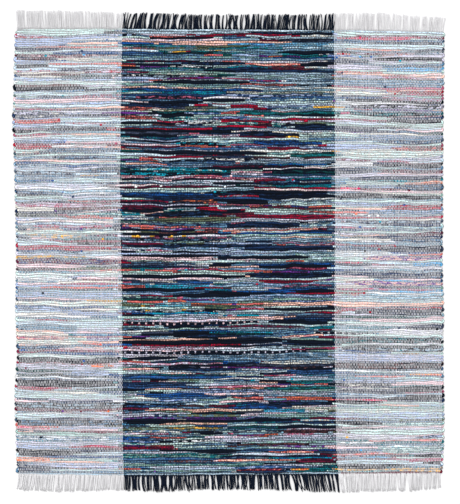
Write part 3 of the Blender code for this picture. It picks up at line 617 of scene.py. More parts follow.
379: white 1 216-270 lilac, grey 1 270-334, mint 1 402-448 steel
380: black 1 150-166, turquoise 1 249-256, turquoise 1 288-294
381: grey 1 120-150 slate, sage 1 166-215 ice_blue, navy 1.5 215-249 slate, black 1.5 256-288
381: mint 1 294-334 grey
382: rose 1 130-141, pale_pink 1 158-180 white, black 1 256-288, teal 1.5 291-326
382: slate 1 326-334 periwinkle, periwinkle 2 333-402 navy
383: navy 1 122-158 black, charcoal 1 158-196 navy, mint 1.5 196-216 ice_blue, grey 1 216-262 slate
383: peach 1 262-276, pale_pink 2 402-448
384: black 4 12-113
385: navy 1 122-197 ink_blue, grey 1 197-278 lilac, purple 1 278-290 royal_blue, salmon 1 290-306 orange
385: purple 1 306-318, salmon 1 318-328
386: ink_blue 1 122-197 charcoal, white 1 205-213 peach, rose 1 213-286 pale_pink, grey 1 286-334
386: charcoal 1 355-398
387: rose 1 12-75 crimson
388: slate 1 122-165, brown 1 165-222 black, bottle_green 1.5 222-334 teal, black 3 398-448
389: crimson 1 12-50, black 1.5 120-150, peach 1 150-183 pale_pink
390: sage 1 50-92 grey, ink_blue 1 92-122 slate, grey 1 183-216 mint, olive 1.5 216-268 salmon
390: sage 1 268-334 grey
391: slate 1 120-150 mint, mint 1 150-185 sage, charcoal 2 333-398 black
392: black 1 148-168, periwinkle 1.5 185-268 ink_blue, charcoal 1 268-300 slate, black 1.5 300-334
393: crimson 1 12-40 pale_pink, cream 1 40-102, grey 1 398-448
394: royal_blue 2 111-122 teal, lilac 1 120-148 mint, slate 1 148-195, pale_pink 1 195-268 grey
394: grey 1.5 268-334 lilac
396: mint 1 120-140 slate, royal_blue 1.5 140-205 ink_blue, navy 1 205-262 slate, white 1 262-268
396: slate 1 268-334 grey
397: mint 3 12-122 ice_blue, black 3 398-448
398: mint 1 120-232 cream, rose 1 268-284 lilac
399: ink_blue 1 160-231 slate, salmon 1.5 231-262 brown, lilac 1 262-284 rose, salmon 1.5 284-332 orange
399: hot_pink 1 333-388
401: pale_pink 1 12-48, lilac 1 48-122, lilac 1 120-160 mint, periwinkle 1 160-200 royal_blue
401: sage 1 200-245 mint, maroon 1 245-264, charcoal 1 264-296 purple, slate 1 296-334
402: slate 1 120-215 grey, black 2 333-386
403: ice_blue 1 215-334 lilac, ice_blue 1 400-448
404: black 1.5 118-142, black 1 142-192 slate, mint 1 192-234 grey, navy 1.5 234-262 teal
404: black 1.5 262-334 navy
405: black 3 12-122 grey, peach 1 374-425
406: mint 1 130-192 rose, slate 1 192-229, turquoise 1 229-236, royal_blue 1 236-262 teal, navy 1 262-289
406: cream 1 289-300, lilac 1 300-334 pale_pink
407: ink_blue 1.5 122-179 black, brown 1.5 179-206 black, maroon 1 206-232 black, sage 1 333-448 grey
408: navy 2 232-290 royal_blue, cream 1 290-334 sage
409: mint 1 150-168 white, slate 1 168-232 charcoal
410: black 1 122-150 slate, mint 2 333-448 cream
411: steel 1 12-55 slate, pale_pink 1 57-72 rose, peach 1 150-182 salmon, peach 1.5 182-236
411: sage 1 236-262 grey, sky_blue 1.5 262-303 turquoise, mint 1 303-334 lilac
412: grey 1 72-122 lilac, charcoal 1 236-262
413: slate 1 122-150 brown, olive 1 150-190 sage, slate 1 290-334 mint
414: black 1 190-240 bottle_green, lilac 1.5 240-290 pale_pink
415: charcoal 1 38-60, lilac 1 122-178 grey, olive 1 178-240 slate, slate 1 290-334 mint
415: periwinkle 3 333-448 mint
417: ice_blue 2 12-104 mint, lilac 1 122-160 grey, grey 1 160-262 slate, sage 1.5 262-334 grey
418: periwinkle 1 104-122, periwinkle 1 255-263
419: purple 1 122-180 slate, purple 1.5 180-240 navy, slate 1 240-255 purple, grey 1 263-292 slate
419: olive 1 365-448 grey
420: teal 1 296-309, maroon 1 309-334
421: black 3 120-175, slate 1 175-200 mint, mint 1 200-240 slate, maroon 1 288-300 black
422: black 3 12-122 slate, black 3 12-122 slate, black 1 175-240, black 1.5 240-288, black 2 333-385
423: cream 1 175-226 slate, navy 2 300-334 black, mint 2 385-448 teal
424: peach 1 160-225 olive, slate 1 225-255 sage, navy 1 255-300 teal
425: charcoal 1 122-150 slate, ink_blue 1.5 190-236 navy
426: mint 1 150-190 sage, grey 1 236-300 mint, black 1 300-334 navy, pale_pink 1 340-448
427: hot_pink 1 12-52 pale_pink, periwinkle 1 60-122, slate 1 122-158 olive
427: olive 1 158-222 mustard, black 1.5 275-334
428: bottle_green 1.5 222-275 navy, black 1 334-383
429: pale_pink 1 12-122, olive 1.5 122-165 sage, olive 1 165-226 slate
430: slate 1 226-285 bottle_green, lilac 1.5 285-334 rose, lilac 1 334-352 rose
431: charcoal 1 20-84 peach, slate 1 122-180 cream, mint 2 345-448
432: black 1.5 180-216, charcoal 1 216-282 mint, brown 1.5 282-334 black
433: lilac 1 122-140 pale_pink, rose 1 140-170 lilac, slate 1 170-200 mint
434: sage 2 12-122 mint, black 1 200-224, rose 1 224-236, rose 1 281-322 lilac
435: sage 1 122-205 mint, purple 1.5 236-262 rose, salmon 1.5 262-281 orange
436: slate 1 150-205 grey, lilac 3 333-420 white, navy 2 420-448 periwinkle
437: lilac 1.5 205-262 pale_pink, lilac 1.5 262-334 grey
438: slate 2 12-122 white, royal_blue 1.5 122-148 navy, salmon 1.5 148-188 brown
438: bottle_green 1 188-205 slate
439: lilac 1 205-262
440: turquoise 1 14-60 slate, charcoal 1 122-165 slate, mint 1 165-215 slate, grey 1.5 215-334 lilac
440: salmon 1 372-448 pale_pink
441: ink_blue 1.5 122-158 periwinkle
442: black 1 158-176, black 1.5 176-216 white, lilac 1 216-250, grey 1 250-334 sage
443: lilac 2 12-122 grey, black 1 216-240 slate, sage 1 240-334 grey
444: teal 1 122-150 mint, mint 1 150-226 slate, slate 1 350-440 teal
445: brown 1 150-176 salmon, slate 1 176-236 charcoal, brown 1.5 236-310 black, grey 1 310-334
446: charcoal 1 120-130, purple 1.5 130-148, white 1 365-420 turquoise
447: crimson 1 64-122 rose, mint 1 165-236 slate, slate 1 236-262, purple 1 262-334 grey
448: periwinkle 2 12-62, maroon 1.5 118-175 crimson, slate 1 175-262 sage, pale_pink 1 333-385
450: charcoal 1 62-122, black 1 160-188, black 2 188-237, ink_blue 1.5 237-300 navy, purple 1 300-320 slate
450: royal_blue 1 320-334 teal, royal_blue 1 332-354, mint 3 385-448 teal
451: slate 1 122-160 grey
452: lilac 1 122-188 grey, slate 1 237-266, salmon 1 266-316 peach
453: black 3 12-76, salmon 1 333-392 lilac
454: ice_blue 2 98-122, ice_blue 1 122-218 mint, grey 1 218-318 lilac, maroon 1.5 318-334
455: ice_blue 1 222-318 lilac, maroon 1 334-366 grey, black 2 413-448
456: teal 2 122-222 sage, charcoal 1 366-413
457: black 1 222-334 navy
458: orange 2 12-60 peach, turquoise 1.5 258-334 royal_blue, sky_blue 1 333-392 steel, mint 1 392-448
459: ink_blue 1.5 122-222 slate, navy 1 222-258 slate
460: teal 1 60-122 mint, maroon 1 333-360 grey
461: slate 1 122-170, brown 1 170-214 slate, peach 1 214-297 salmon, maroon 1.5 297-334 black
462: peach 1 36-106
463: mint 1 122-150 grey, slate 1 150-240 ink_blue, black 1 240-303, sage 1 303-334 mint
463: ice_blue 2 333-420 mint, black 2 424-448
464: navy 1 16-28, mint 1 150-240 slate
465: periwinkle 2 28-122 lilac, sage 1.5 122-262 teal, lilac 1 262-334 grey
466: black 1 333-402, slate 1 408-448 turquoise
467: steel 1 122-154 royal_blue, ice_blue 1 154-230 lilac, ink_blue 1.5 230-303 periwinkle, slate 1 303-320
467: teal 1.5 320-334 navy
469: charcoal 2 14-58, salmon 1 67-88 peach, purple 1 92-113 lilac, salmon 1 118-141 orange, navy 1 141-152
469: periwinkle 1 152-235 ice_blue, maroon 1 235-290 salmon, orange 1 290-313 mustard, teal 1 313-334
469: mustard 2 333-448 slate
471: mint 1 58-122 grey, slate 1 122-154 mint, purple 1 154-158, sage 1 158-231 grey, white 1 231-239
471: navy 1.5 239-292 charcoal, teal 1 292-334 bottle_green, teal 1 333-396 mint
473: periwinkle 1 12-122 grey, steel 1 12-122 periwinkle, slate 1 122-210 grey, maroon 1 210-300 black
473: maroon 1 334-448
474: maroon 1 300-334 crimson
476: grey 1 12-122, grey 1 122-334
"""
PRINTED = 0.50                 # how far a printed rag's second colour goes, for the rags that are listed
LEFT_EDGE, RIGHT_EDGE = 16, 444        # pixels, past which a placed rag runs on to the selvedge
EDGE_OVERRUN = 0.02
ROW_STRAY, STRAY_SHARE = 0.018, 0.09   # how far each row of a placed rag stops from its even end

# The look of the cloth the rags are torn from, with its painted light and shade
FOLD_GRAIN, PUFF_GRAIN = (110, 420, 420), (210, 260, 260)   # spots of noise a metre, along each axis
FADE_GRAIN, MOTIF_GRAIN = (16, 120, 120), (75, 150, 150)
# Painted light and shade: folds and puffs make the colour lighter and darker, fade changes its tone in long
# streaks
FOLD_LIGHT, PUFF_LIGHT, FADE_LIGHT = 1.4, 2.6, 1.2
LIGHT_DROP, LIGHTEST = 1.45, 1.45
# Painted shade: a rag is painted darkest low on its sides, where the rows meet, and lightest on its ridge
SHADE_FROM, SHADE_TO = RAG_EDGE + 0.0002, RAG_TOP - 0.0003  # heights where a rag is darkest and lightest
EDGE_LIGHT, RIDGE_LIGHT = 0.43, 0.88
FOLD_RELIEF, PUFF_RELIEF = 0.5, 0.5
SPECKLE_STEP, DASH_STEP = (0.97, 1.05), (0.62, 0.88)        # how sharply a print's second colour sets in
DASH_PITCH = 0.0228
PRINT_STRENGTH = 0.75
RAG_ROUGHNESS, FOLD_ROUGHNESS = 0.82, 0.12
LANE_MARGIN, CAP_SPOT = 0.04, 0.001    # of a tube's lane and of the whole, on the flat map of its faces


def read_table(rows, at, column):
    """The value of a column at a place, on straight lines between the rows."""
    place = rows[0]._fields[0]
    return np.interp(at, [getattr(row, place) for row in rows], [getattr(row, column) for row in rows])


def from_screen(colour):
    """A screen colour of 0 to 255 as the linear colour that a shader takes."""
    value = np.asarray(colour, float) / 255
    return np.where(value <= 0.04045, value / 12.92, ((value + 0.055) / 1.055) ** 2.4)


def smooth(values, reach, axis):
    """A bell-shaped average along one axis."""
    steps = np.arange(-int(3 * reach), int(3 * reach) + 1)
    weights = np.exp(-0.5 * (steps / reach) ** 2)
    weights /= weights.sum()
    width = [(0, 0), (0, 0)]
    width[axis] = (len(steps) // 2, len(steps) // 2)
    padded = np.pad(values, width, mode="edge")
    return np.apply_along_axis(np.convolve, axis, padded, weights, "valid")


def tube_piece(name, rings, lanes=None, starts=None, ends=None):
    """Joins tubes into one mesh. rings[tube, ring, corner] are points, from right over the top to left.
    Each stretch between two rings has its own lane of the UV map and runs along it from starts to ends."""
    tubes, count, sides = rings.shape[:3]
    if lanes is None:
        lanes = np.repeat(np.arange(tubes)[:, None], count - 1, axis=1)
        starts = np.repeat(np.arange(count - 1)[None] / (count - 1), tubes, axis=0)
        ends = starts + 1 / (count - 1)
    first = (np.arange(tubes)[:, None] * count + np.arange(count - 1)) * sides
    corner = np.arange(sides)
    low, high = first[..., None] + corner, first[..., None] + (corner + 1) % sides
    quads = np.stack([low, low + sides, high + sides, high], axis=-1).reshape(-1, 4)
    cap = np.arange(tubes)[:, None] * count * sides
    caps = np.concatenate([cap + corner, cap + (count - 1) * sides + corner[::-1]])
    mesh = bpy.data.meshes.new(name)
    mesh.vertices.add(tubes * count * sides)
    mesh.vertices.foreach_set("co", rings.astype(np.float32).ravel())
    mesh.loops.add(quads.size + caps.size)
    mesh.loops.foreach_set("vertex_index", np.concatenate([quads.ravel(), caps.ravel()]).astype(np.int32))
    mesh.polygons.add(len(quads) + len(caps))
    loop_starts = np.concatenate([np.arange(len(quads)) * 4, quads.size + np.arange(len(caps)) * sides])
    mesh.polygons.foreach_set("loop_start", loop_starts.astype(np.int32))
    mesh.update(calc_edges=True)
    mesh.polygons.foreach_set("use_smooth", np.ones(len(mesh.polygons), bool))
    lane_height = 1 / (lanes.max() + 1)
    bottom = (lanes[..., None] + (corner + LANE_MARGIN) / sides) * lane_height
    top = (lanes[..., None] + (corner + (1 - LANE_MARGIN)) / sides) * lane_height
    left = np.broadcast_to(starts[..., None], bottom.shape)
    right = np.broadcast_to(ends[..., None], bottom.shape)
    across = np.stack([left, right, right, left], axis=-1)
    up = np.stack([bottom, bottom, top, top], axis=-1)
    places = np.stack([across, up], axis=-1).reshape(-1, 2)
    turn = 2 * np.pi * corner / sides
    spot = CAP_SPOT * np.stack([1.5 + np.cos(turn), 1.5 + np.sin(turn)], axis=-1)
    places = np.concatenate([places, np.tile(spot, (len(caps), 1))])
    mesh.uv_layers.new(name="OFBake").data.foreach_set("uv", places.astype(np.float32).ravel())
    piece = bpy.data.objects.new(name, mesh)
    bpy.context.scene.collection.objects.link(piece)
    return piece


def paint_faces(piece, name, values, sides):
    """Stores a colour for each stretch of the tubes on all of its faces, and the mean on the caps."""
    values = np.asarray(values, np.float32).reshape(-1, 3)
    faces = np.repeat(values, sides, axis=0)
    spare = len(piece.data.polygons) - len(faces)
    faces = np.concatenate([faces, np.repeat(values.mean(axis=0)[None], spare, axis=0)])
    colours = np.concatenate([faces, np.ones((len(faces), 1), np.float32)], axis=1)
    layer = piece.data.attributes.new(name=name, type="FLOAT_COLOR", domain="FACE")
    layer.data.foreach_set("color", colours.astype(np.float32).ravel())


class Shade:
    """A shader socket that takes part in sums."""

    def __init__(self, tree, socket):
        self.tree, self.socket = tree, socket

    def node(self, kind, settings=(), out=0, **values):
        """Adds a node, sets it up, feeds its sockets by name or number, and gives one of its outputs."""
        made = self.tree.nodes.new(kind)
        for key, value in dict(settings).items():
            setattr(made, key, value)
        for key, value in values.items():
            target = made.inputs[int(key[1:]) if key[0] == "_" else key.replace("_", " ")]
            if isinstance(value, Shade):
                self.tree.links.new(value.socket, target)
            else:
                target.default_value = value
        return Shade(self.tree, made.outputs[out])

    def sum(self, operation, *values):
        sockets = {f"_{number}": value for number, value in enumerate(values)}
        return self.node("ShaderNodeMath", {"operation": operation}, **sockets)

    def __add__(self, other):
        return self.sum("ADD", self, other)

    def __radd__(self, other):
        return self.sum("ADD", other, self)

    def __sub__(self, other):
        return self.sum("SUBTRACT", self, other)

    def __rsub__(self, other):
        return self.sum("SUBTRACT", other, self)

    def __mul__(self, other):
        return self.sum("MULTIPLY", self, other)

    def __rmul__(self, other):
        return self.sum("MULTIPLY", other, self)

    def part(self, axis):
        """One coordinate of a place."""
        return self.node("ShaderNodeSeparateXYZ", out=axis, _0=self)

    def sine(self):
        return self.sum("SINE", self)

    def capped(self, high):
        """No more than a value."""
        return self.sum("MINIMUM", self, high)

    def between(self, low, high):
        """0 under low, 1 over high, smooth between them."""
        settings = {"interpolation_type": "SMOOTHSTEP"}
        return self.node("ShaderNodeMapRange", settings, Value=self, From_Min=low, From_Max=high)

    def scaled(self, x, y, z):
        """A place stretched along each axis."""
        return self.node("ShaderNodeVectorMath", {"operation": "MULTIPLY"}, _0=self, _1=(x, y, z))

    def grain(self, detail):
        """Soft noise from 0 to 1 at a place, with one spot a unit."""
        return self.node("ShaderNodeTexNoise", _0=self, Scale=1.0, Detail=detail)

    def mixed(self, other, factor):
        """A colour with some of another in it."""
        return self.node("ShaderNodeMix", {"data_type": "RGBA"}, out=2, _0=factor, _6=self, _7=other)

    def lit(self, factor):
        """A colour made lighter or darker by a factor."""
        return self.node("ShaderNodeVectorMath", {"operation": "SCALE"}, _0=self, Scale=factor)

    def bumped(self, strength, distance):
        return self.node("ShaderNodeBump", Height=self, Strength=strength, Distance=distance)


def new_cloth(name, sheen, shine=0.10, fuzz=0.6):
    """A matt fabric material, its shader, and the place that its pattern reads."""
    material = bpy.data.materials.new(name)
    material.use_nodes = True
    tree = material.node_tree
    shader = tree.nodes["Principled BSDF"]
    shader.inputs["Specular IOR Level"].default_value = shine
    shader.inputs["Sheen Weight"].default_value = sheen
    shader.inputs["Sheen Roughness"].default_value = fuzz
    place = Shade(tree, tree.nodes.new("ShaderNodeTexCoord").outputs["Object"])
    return material, shader, place


def finish_cloth(shader, colour, roughness, normal):
    """Joins a pattern's ends to the shader."""
    tree = colour.tree
    tree.links.new(colour.socket, shader.inputs["Base Color"])
    tree.links.new(roughness.socket, shader.inputs["Roughness"])
    tree.links.new(normal.socket, shader.inputs["Normal"])


rag_cotton, rag_shader, place = new_cloth("rag_cotton", sheen=0.02)
ground = place.node("ShaderNodeAttribute", {"attribute_name": "ground"})
second = place.node("ShaderNodeAttribute", {"attribute_name": "second"})
pattern = place.node("ShaderNodeAttribute", {"attribute_name": "pattern"})
folds = place.scaled(*FOLD_GRAIN).grain(detail=2.0)
puffs = place.scaled(*PUFF_GRAIN).grain(detail=1.0)
fade = place.scaled(*FADE_GRAIN).grain(detail=2.0)
motifs = place.scaled(*MOTIF_GRAIN).grain(detail=1.5)
speckled = (motifs + pattern.part(0)).between(*SPECKLE_STEP)
dashed = (place.part(0) * (2 * np.pi / DASH_PITCH)).sine().between(*DASH_STEP)
is_dashed = pattern.part(1)
printed = speckled * (1 - is_dashed) + dashed * is_dashed
# Painted shade: darker low on a rag's sides, where the rows meet, lighter up on its ridge
painted_height_shade = place.part(2).between(SHADE_FROM, SHADE_TO)
colour = ground.mixed(second, PRINT_STRENGTH * printed)
# Painted light and shade of the folds and puffs, with the fade's long streaks of tone, capped at the
# lightest
light = (FOLD_LIGHT * folds + PUFF_LIGHT * puffs + FADE_LIGHT * fade - LIGHT_DROP).capped(LIGHTEST)
colour = colour.lit(light * (RIDGE_LIGHT * painted_height_shade + EDGE_LIGHT))
roughness = RAG_ROUGHNESS + FOLD_ROUGHNESS * folds
relief = (FOLD_RELIEF * folds + PUFF_RELIEF * puffs).bumped(strength=0.6, distance=0.0015)
finish_cloth(rag_shader, colour, roughness, relief)

draws = np.random.default_rng(SEED)
length = SIDES[-1].along
row_share = (np.arange(PICKS) + 0.5) / PICKS
turn_middle = TURN_REACH + RAG_EDGE
left_turn = turn_middle - read_table(SIDES, row_share * length, "left")
right_turn = read_table(SIDES, row_share * length, "right") - turn_middle
across_share = np.arange(STEPS + 1) / STEPS
row_across = left_turn[:, None] * (1 - across_share) + right_turn[:, None] * across_share

# The string of rags: each has its dye, its second colour, how much of it shows, and its thickness
shares = np.array([dye.share for dye in DYES], float)
shares /= shares.sum()
colours = np.array([from_screen(dye.colour) for dye in DYES])
string_ends, string_dye, string_second, string_print, string_swell = [], [], [], [], []
reached, last = 0.0, -1
while reached < PICKS:
    pick = draws.choice(len(DYES), p=shares)
    if pick == last:
        continue
    dye = DYES[pick]
    reached += SHORTEST_RAG + (dye.longest - SHORTEST_RAG) * draws.random() ** SHORT_BIAS
    string_ends.append(reached)
    string_dye.append(pick)
    string_second.append(draws.choice(len(DYES), p=shares))
    print_range = PRINT_RANGE if draws.random() < PRINTED_SHARE else PLAIN_RANGE
    string_print.append(draws.uniform(*print_range))
    string_swell.append(dye.swell * draws.uniform(*SWELL_RANGE))
    last = pick
string_ends = np.array(string_ends)
string_dye, string_second = np.array(string_dye), np.array(string_second)
string_print, string_swell = np.array(string_print), np.array(string_swell)
string_dashes = np.zeros(len(string_ends))
step_share = (np.arange(STEPS) + 0.5) / STEPS
rows = np.arange(PICKS)
string_at = np.where((rows % 2 == 0)[:, None], rows[:, None] + step_share, rows[:, None] + 1 - step_share)
rag = np.searchsorted(string_ends, string_at)

# The listed rags take their stretches of the string
names = [dye.name for dye in DYES]
placed_rags = []
for course in COURSES.strip().splitlines():
    down, words = course.split(":")
    for word in words.split(","):
        dye, height, reach, second, mark = (word.split() + ["", ""])[:5]
        left, right = (int(edge) for edge in reach.split("-"))
        placed_rags.append(Rag(int(down), dye, float(height), left, right, second, mark == "dashed"))
for placed in placed_rags:
    left, right = ((edge - RUG_MIDDLE_ACROSS) * METRES_PER_PIXEL for edge in (placed.left, placed.right))
    near, far = (read_table(ENDS, (left + right) / 2, end) for end in ("near", "far"))
    along = (RUG_MIDDLE_DOWN - placed.down) * METRES_PER_PIXEL
    dye = names.index(placed.dye)
    walks = max(1, round(placed.rows / DYES[dye].swell))
    row_at = (along + near) / (near + far) * PICKS - walks / 2
    first_row = int(np.clip(round(row_at), 0, PICKS - walks))
    stray = min(ROW_STRAY, STRAY_SHARE * (right - left))
    for row in range(first_row, first_row + walks):
        low = left + (draws.normal(0, stray) if placed.left > LEFT_EDGE else -EDGE_OVERRUN)
        high = right + (draws.normal(0, stray) if placed.right < RIGHT_EDGE else EDGE_OVERRUN)
        middles = (row_across[row, :-1] + row_across[row, 1:]) / 2
        rag[row, (middles >= low) & (middles <= high)] = len(string_dye)
    string_dye = np.append(string_dye, dye)
    string_second = np.append(string_second, names.index(placed.second or placed.dye))
    string_print = np.append(string_print, PRINTED if placed.second else 0.0)
    string_swell = np.append(string_swell, placed.rows / walks * draws.uniform(*PLACED_SWELL_RANGE))
    string_dashes = np.append(string_dashes, float(placed.dashed))

# Rows swell and thin with their rags, push their neighbours aside, and settle back over a few rows
swell = string_swell[rag]
ends = np.zeros(swell.shape)
ends[:, 1:] += rag[:, 1:] != rag[:, :-1]
ends[:, :-1] += rag[:, 1:] != rag[:, :-1]
swell *= 1 - END_TAPER * np.clip(smooth(ends, TAPER_STEPS, axis=1) * TAPER_GAIN, 0, 1)
swell = np.concatenate([swell[:, :1], (swell[:, 1:] + swell[:, :-1]) / 2, swell[:, -1:]], axis=1)
swell = smooth(swell, SWELL_STEPS, axis=1)
swell += smooth(draws.normal(0, SLOW_SWELL, swell.shape), SLOW_STEPS, axis=1)
swell += smooth(draws.normal(0, QUICK_SWELL, swell.shape), QUICK_STEPS, axis=1)
pushed = np.cumsum(swell - swell.mean(axis=0), axis=0)
pushed -= smooth(pushed, SETTLE_ROWS, axis=0)
row_width = np.clip(1 + np.diff(pushed, axis=0, prepend=0), THINNEST_ROW, None)
row_line = np.concatenate([np.zeros((1, STEPS + 1)), np.cumsum(row_width, axis=0)])
row_line *= PICKS / row_line[-1]


def row_place(across, share):
    """Y of a place that lies a share of the way from the near edge to the far edge, with a slow waver."""
    near, far = -read_table(ENDS, across, "near"), read_table(ENDS, across, "far")
    hold = np.clip(np.minimum(share, 1 - share) / STRAIGHT_SHARE, 0, 1)
    flat = zip(np.ravel(across) / WAVER_ACROSS, np.ravel(share) * length / WAVER_ALONG)
    waver = np.array([noise.noise((x, y, 0.0)) for x, y in flat]).reshape(np.shape(across))
    return near + (far - near) * share + WAVER * hold * waver


line_across = np.concatenate([row_across[:1], (row_across[1:] + row_across[:-1]) / 2, row_across[-1:]])
line_y = row_place(line_across, row_line / PICKS)
row_y = (line_y[1:] + line_y[:-1]) / 2
row_half = (line_y[1:] - line_y[:-1]) / 2


def turn_rings(row):
    """Middles, headings and half widths of the three rings that carry the rag round into the next row."""
    right = row % 2 == 0
    column = -1 if right else 0
    out = 1 if right else -1
    reach = TURN_REACH + draws.uniform(-1, 1) * TURN_UNEVEN
    middle_y = line_y[row + 1, column]
    start_across, next_across = row_across[row, column], row_across[row + 1, column]
    rings = []
    for turn in TURN_RINGS:
        angle = np.pi * turn
        half = row_half[row, column] * (1 - turn) + row_half[row + 1, column] * turn
        base = start_across * (1 - turn) + next_across * turn
        heading = angle if right else np.pi - angle
        across, along = base + out * reach * np.sin(angle), middle_y - half * np.cos(angle)
        rings.append((across, along, heading, TURN_FULLNESS * half))
    return rings


def rag_band(name, first, last):
    """The string of rags over some rows, as one tube of four sides."""
    path, lanes, marks = [], [], []
    for row in range(first, last):
        order = range(STEPS + 1) if row % 2 == 0 else range(STEPS, -1, -1)
        heading = 0.0 if row % 2 == 0 else np.pi
        for column in order:
            path.append((row_across[row, column], row_y[row, column], heading, row_half[row, column]))
        steps = [min(column, STEPS - 1) if row % 2 == 0 else max(column - 1, 0) for column in order]
        if row + 1 < PICKS:
            path += turn_rings(row)
            steps += steps[-1:] * len(TURN_RINGS)
        marks += [rag[row, step] for step in steps]
        lanes += [(row - first, i / len(steps), (i + 1) / len(steps)) for i in range(len(steps))]
    across, along, heading, half = np.array(path).T
    marks = np.array(marks[:len(path) - 1])
    lanes = np.array(lanes[:len(path) - 1])
    count = len(path)
    lift = smooth(draws.normal(0, RIDGE_LIFT, (1, count)), RIDGE_STEPS, axis=1)[0]
    roll = smooth(draws.normal(0, RIDGE_ROLL, (1, count)), RIDGE_STEPS, axis=1)[0]
    left_x, left_y = -np.sin(heading), np.cos(heading)
    thick = np.clip(half / row_half.mean(), *THICK_RANGE) ** THICK_POWER
    top = RAG_EDGE + (RAG_TOP - RAG_EDGE) * thick + lift
    flat = 0 * half
    offsets = np.stack([-RAG_LAP * half, RIDGE_SHIFT * roll * half, RAG_LAP * half, flat])
    heights = np.stack([flat + RAG_EDGE, top, flat + RAG_EDGE, flat + RAG_FLOOR])
    points = np.stack([across + offsets * left_x, along + offsets * left_y, heights], axis=-1)
    points = points.transpose(1, 0, 2)[None] + np.array(middle)
    piece = tube_piece(name, points, lanes[None, :, 0], lanes[None, :, 1], lanes[None, :, 2])
    paint_faces(piece, "ground", colours[string_dye[marks]], RAG_SIDES)
    paint_faces(piece, "second", colours[string_second[marks]], RAG_SIDES)
    pattern = np.stack([string_print[marks], string_dashes[marks], string_dashes[marks]], axis=-1)
    paint_faces(piece, "pattern", pattern, RAG_SIDES)
    piece.data.materials.append(rag_cotton)
    return piece


for number, first in enumerate(range(0, PICKS, PICKS_A_BAND)):
    band = rag_band(f"rag_weft_{number + 1:02d}", first, min(first + PICKS_A_BAND, PICKS))
    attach(band, "root")
    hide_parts("rug_cloth")

# The knots
# Where one rag ends the next is tied or lapped to it, and the small lump works its way to the cloth's face.
# The bright ones are listed one by one, and the rest sit at joints picked from the string.
KNOT_LONG, KNOT_WIDE, KNOT_TALL = 0.0052, 0.0030, 0.0019      # half sizes
KNOT_BULK = (0.75, 1.2)
KNOT_SEAT = 0.0046
SPARE_KNOTS = 90
Knot = namedtuple("Knot", "down across dye")
KNOTS = (
    Knot(down=40, across=107, dye="royal_blue"),
    Knot(down=38, across=360, dye="hot_pink"),
    Knot(down=41, across=398, dye="royal_blue"),
    Knot(down=51, across=82, dye="navy"),
    Knot(down=55, across=84, dye="sky_blue"),
    Knot(down=56, across=46, dye="turquoise"),
    Knot(down=54, across=343, dye="crimson"),
    Knot(down=57, across=360, dye="sky_blue"),
    Knot(down=57, across=371, dye="royal_blue"),
    Knot(down=61, across=400, dye="turquoise"),
    Knot(down=70, across=31, dye="crimson"),
    Knot(down=73, across=342, dye="navy"),
    Knot(down=87, across=385, dye="navy"),
    Knot(down=94, across=395, dye="crimson"),
    Knot(down=96, across=63, dye="teal"),
    Knot(down=101, across=334, dye="purple"),
    Knot(down=116, across=338, dye="black"),
    Knot(down=120, across=59, dye="crimson"),
    Knot(down=121, across=306, dye="crimson"),
    Knot(down=125, across=101, dye="crimson"),
    Knot(down=137, across=289, dye="mustard"),
    Knot(down=176, across=231, dye="pale_pink"),
    Knot(down=180, across=293, dye="crimson"),
    Knot(down=181, across=294, dye="sky_blue"),
    Knot(down=187, across=136, dye="white"),
    Knot(down=186, across=161, dye="white"),
    Knot(down=187, across=225, dye="white"),
    Knot(down=185, across=399, dye="black"),
    Knot(down=192, across=63, dye="royal_blue"),
    Knot(down=192, across=215, dye="turquoise"),
    Knot(down=197, across=73, dye="navy"),
    Knot(down=205, across=404, dye="royal_blue"),
    Knot(down=211, across=56, dye="purple"),
    Knot(down=214, across=356, dye="orange"),
    Knot(down=216, across=369, dye="white"),
    Knot(down=216, across=378, dye="white"),
    Knot(down=222, across=380, dye="turquoise"),
    Knot(down=227, across=94, dye="black"),
    Knot(down=227, across=360, dye="royal_blue"),
    Knot(down=236, across=138, dye="mustard"),
    Knot(down=236, across=172, dye="mustard"),
    Knot(down=236, across=62, dye="mustard"),
    Knot(down=239, across=103, dye="mustard"),
    Knot(down=246, across=395, dye="crimson"),
    Knot(down=249, across=379, dye="crimson"),
    Knot(down=249, across=110, dye="crimson"),
    Knot(down=251, across=365, dye="black"),
    Knot(down=284, across=257, dye="crimson"),
    Knot(down=293, across=43, dye="black"),
    Knot(down=293, across=364, dye="crimson"),
    Knot(down=312, across=370, dye="crimson"),
    Knot(down=328, across=399, dye="navy"),
    Knot(down=329, across=22, dye="navy"),
    Knot(down=347, across=126, dye="crimson"),
    Knot(down=350, across=401, dye="teal"),
    Knot(down=361, across=84, dye="royal_blue"),
    Knot(down=368, across=26, dye="maroon"),
    Knot(down=380, across=252, dye="turquoise"),
    Knot(down=379, across=292, dye="turquoise"),
    Knot(down=380, across=344, dye="royal_blue"),
    Knot(down=403, across=368, dye="navy"),
    Knot(down=411, across=63, dye="purple"),
    Knot(down=437, across=41, dye="black"),
    Knot(down=437, across=347, dye="mustard"),
    Knot(down=450, across=361, dye="sky_blue"),
    Knot(down=465, across=26, dye="navy"),
    Knot(down=471, across=155, dye="purple"),
)

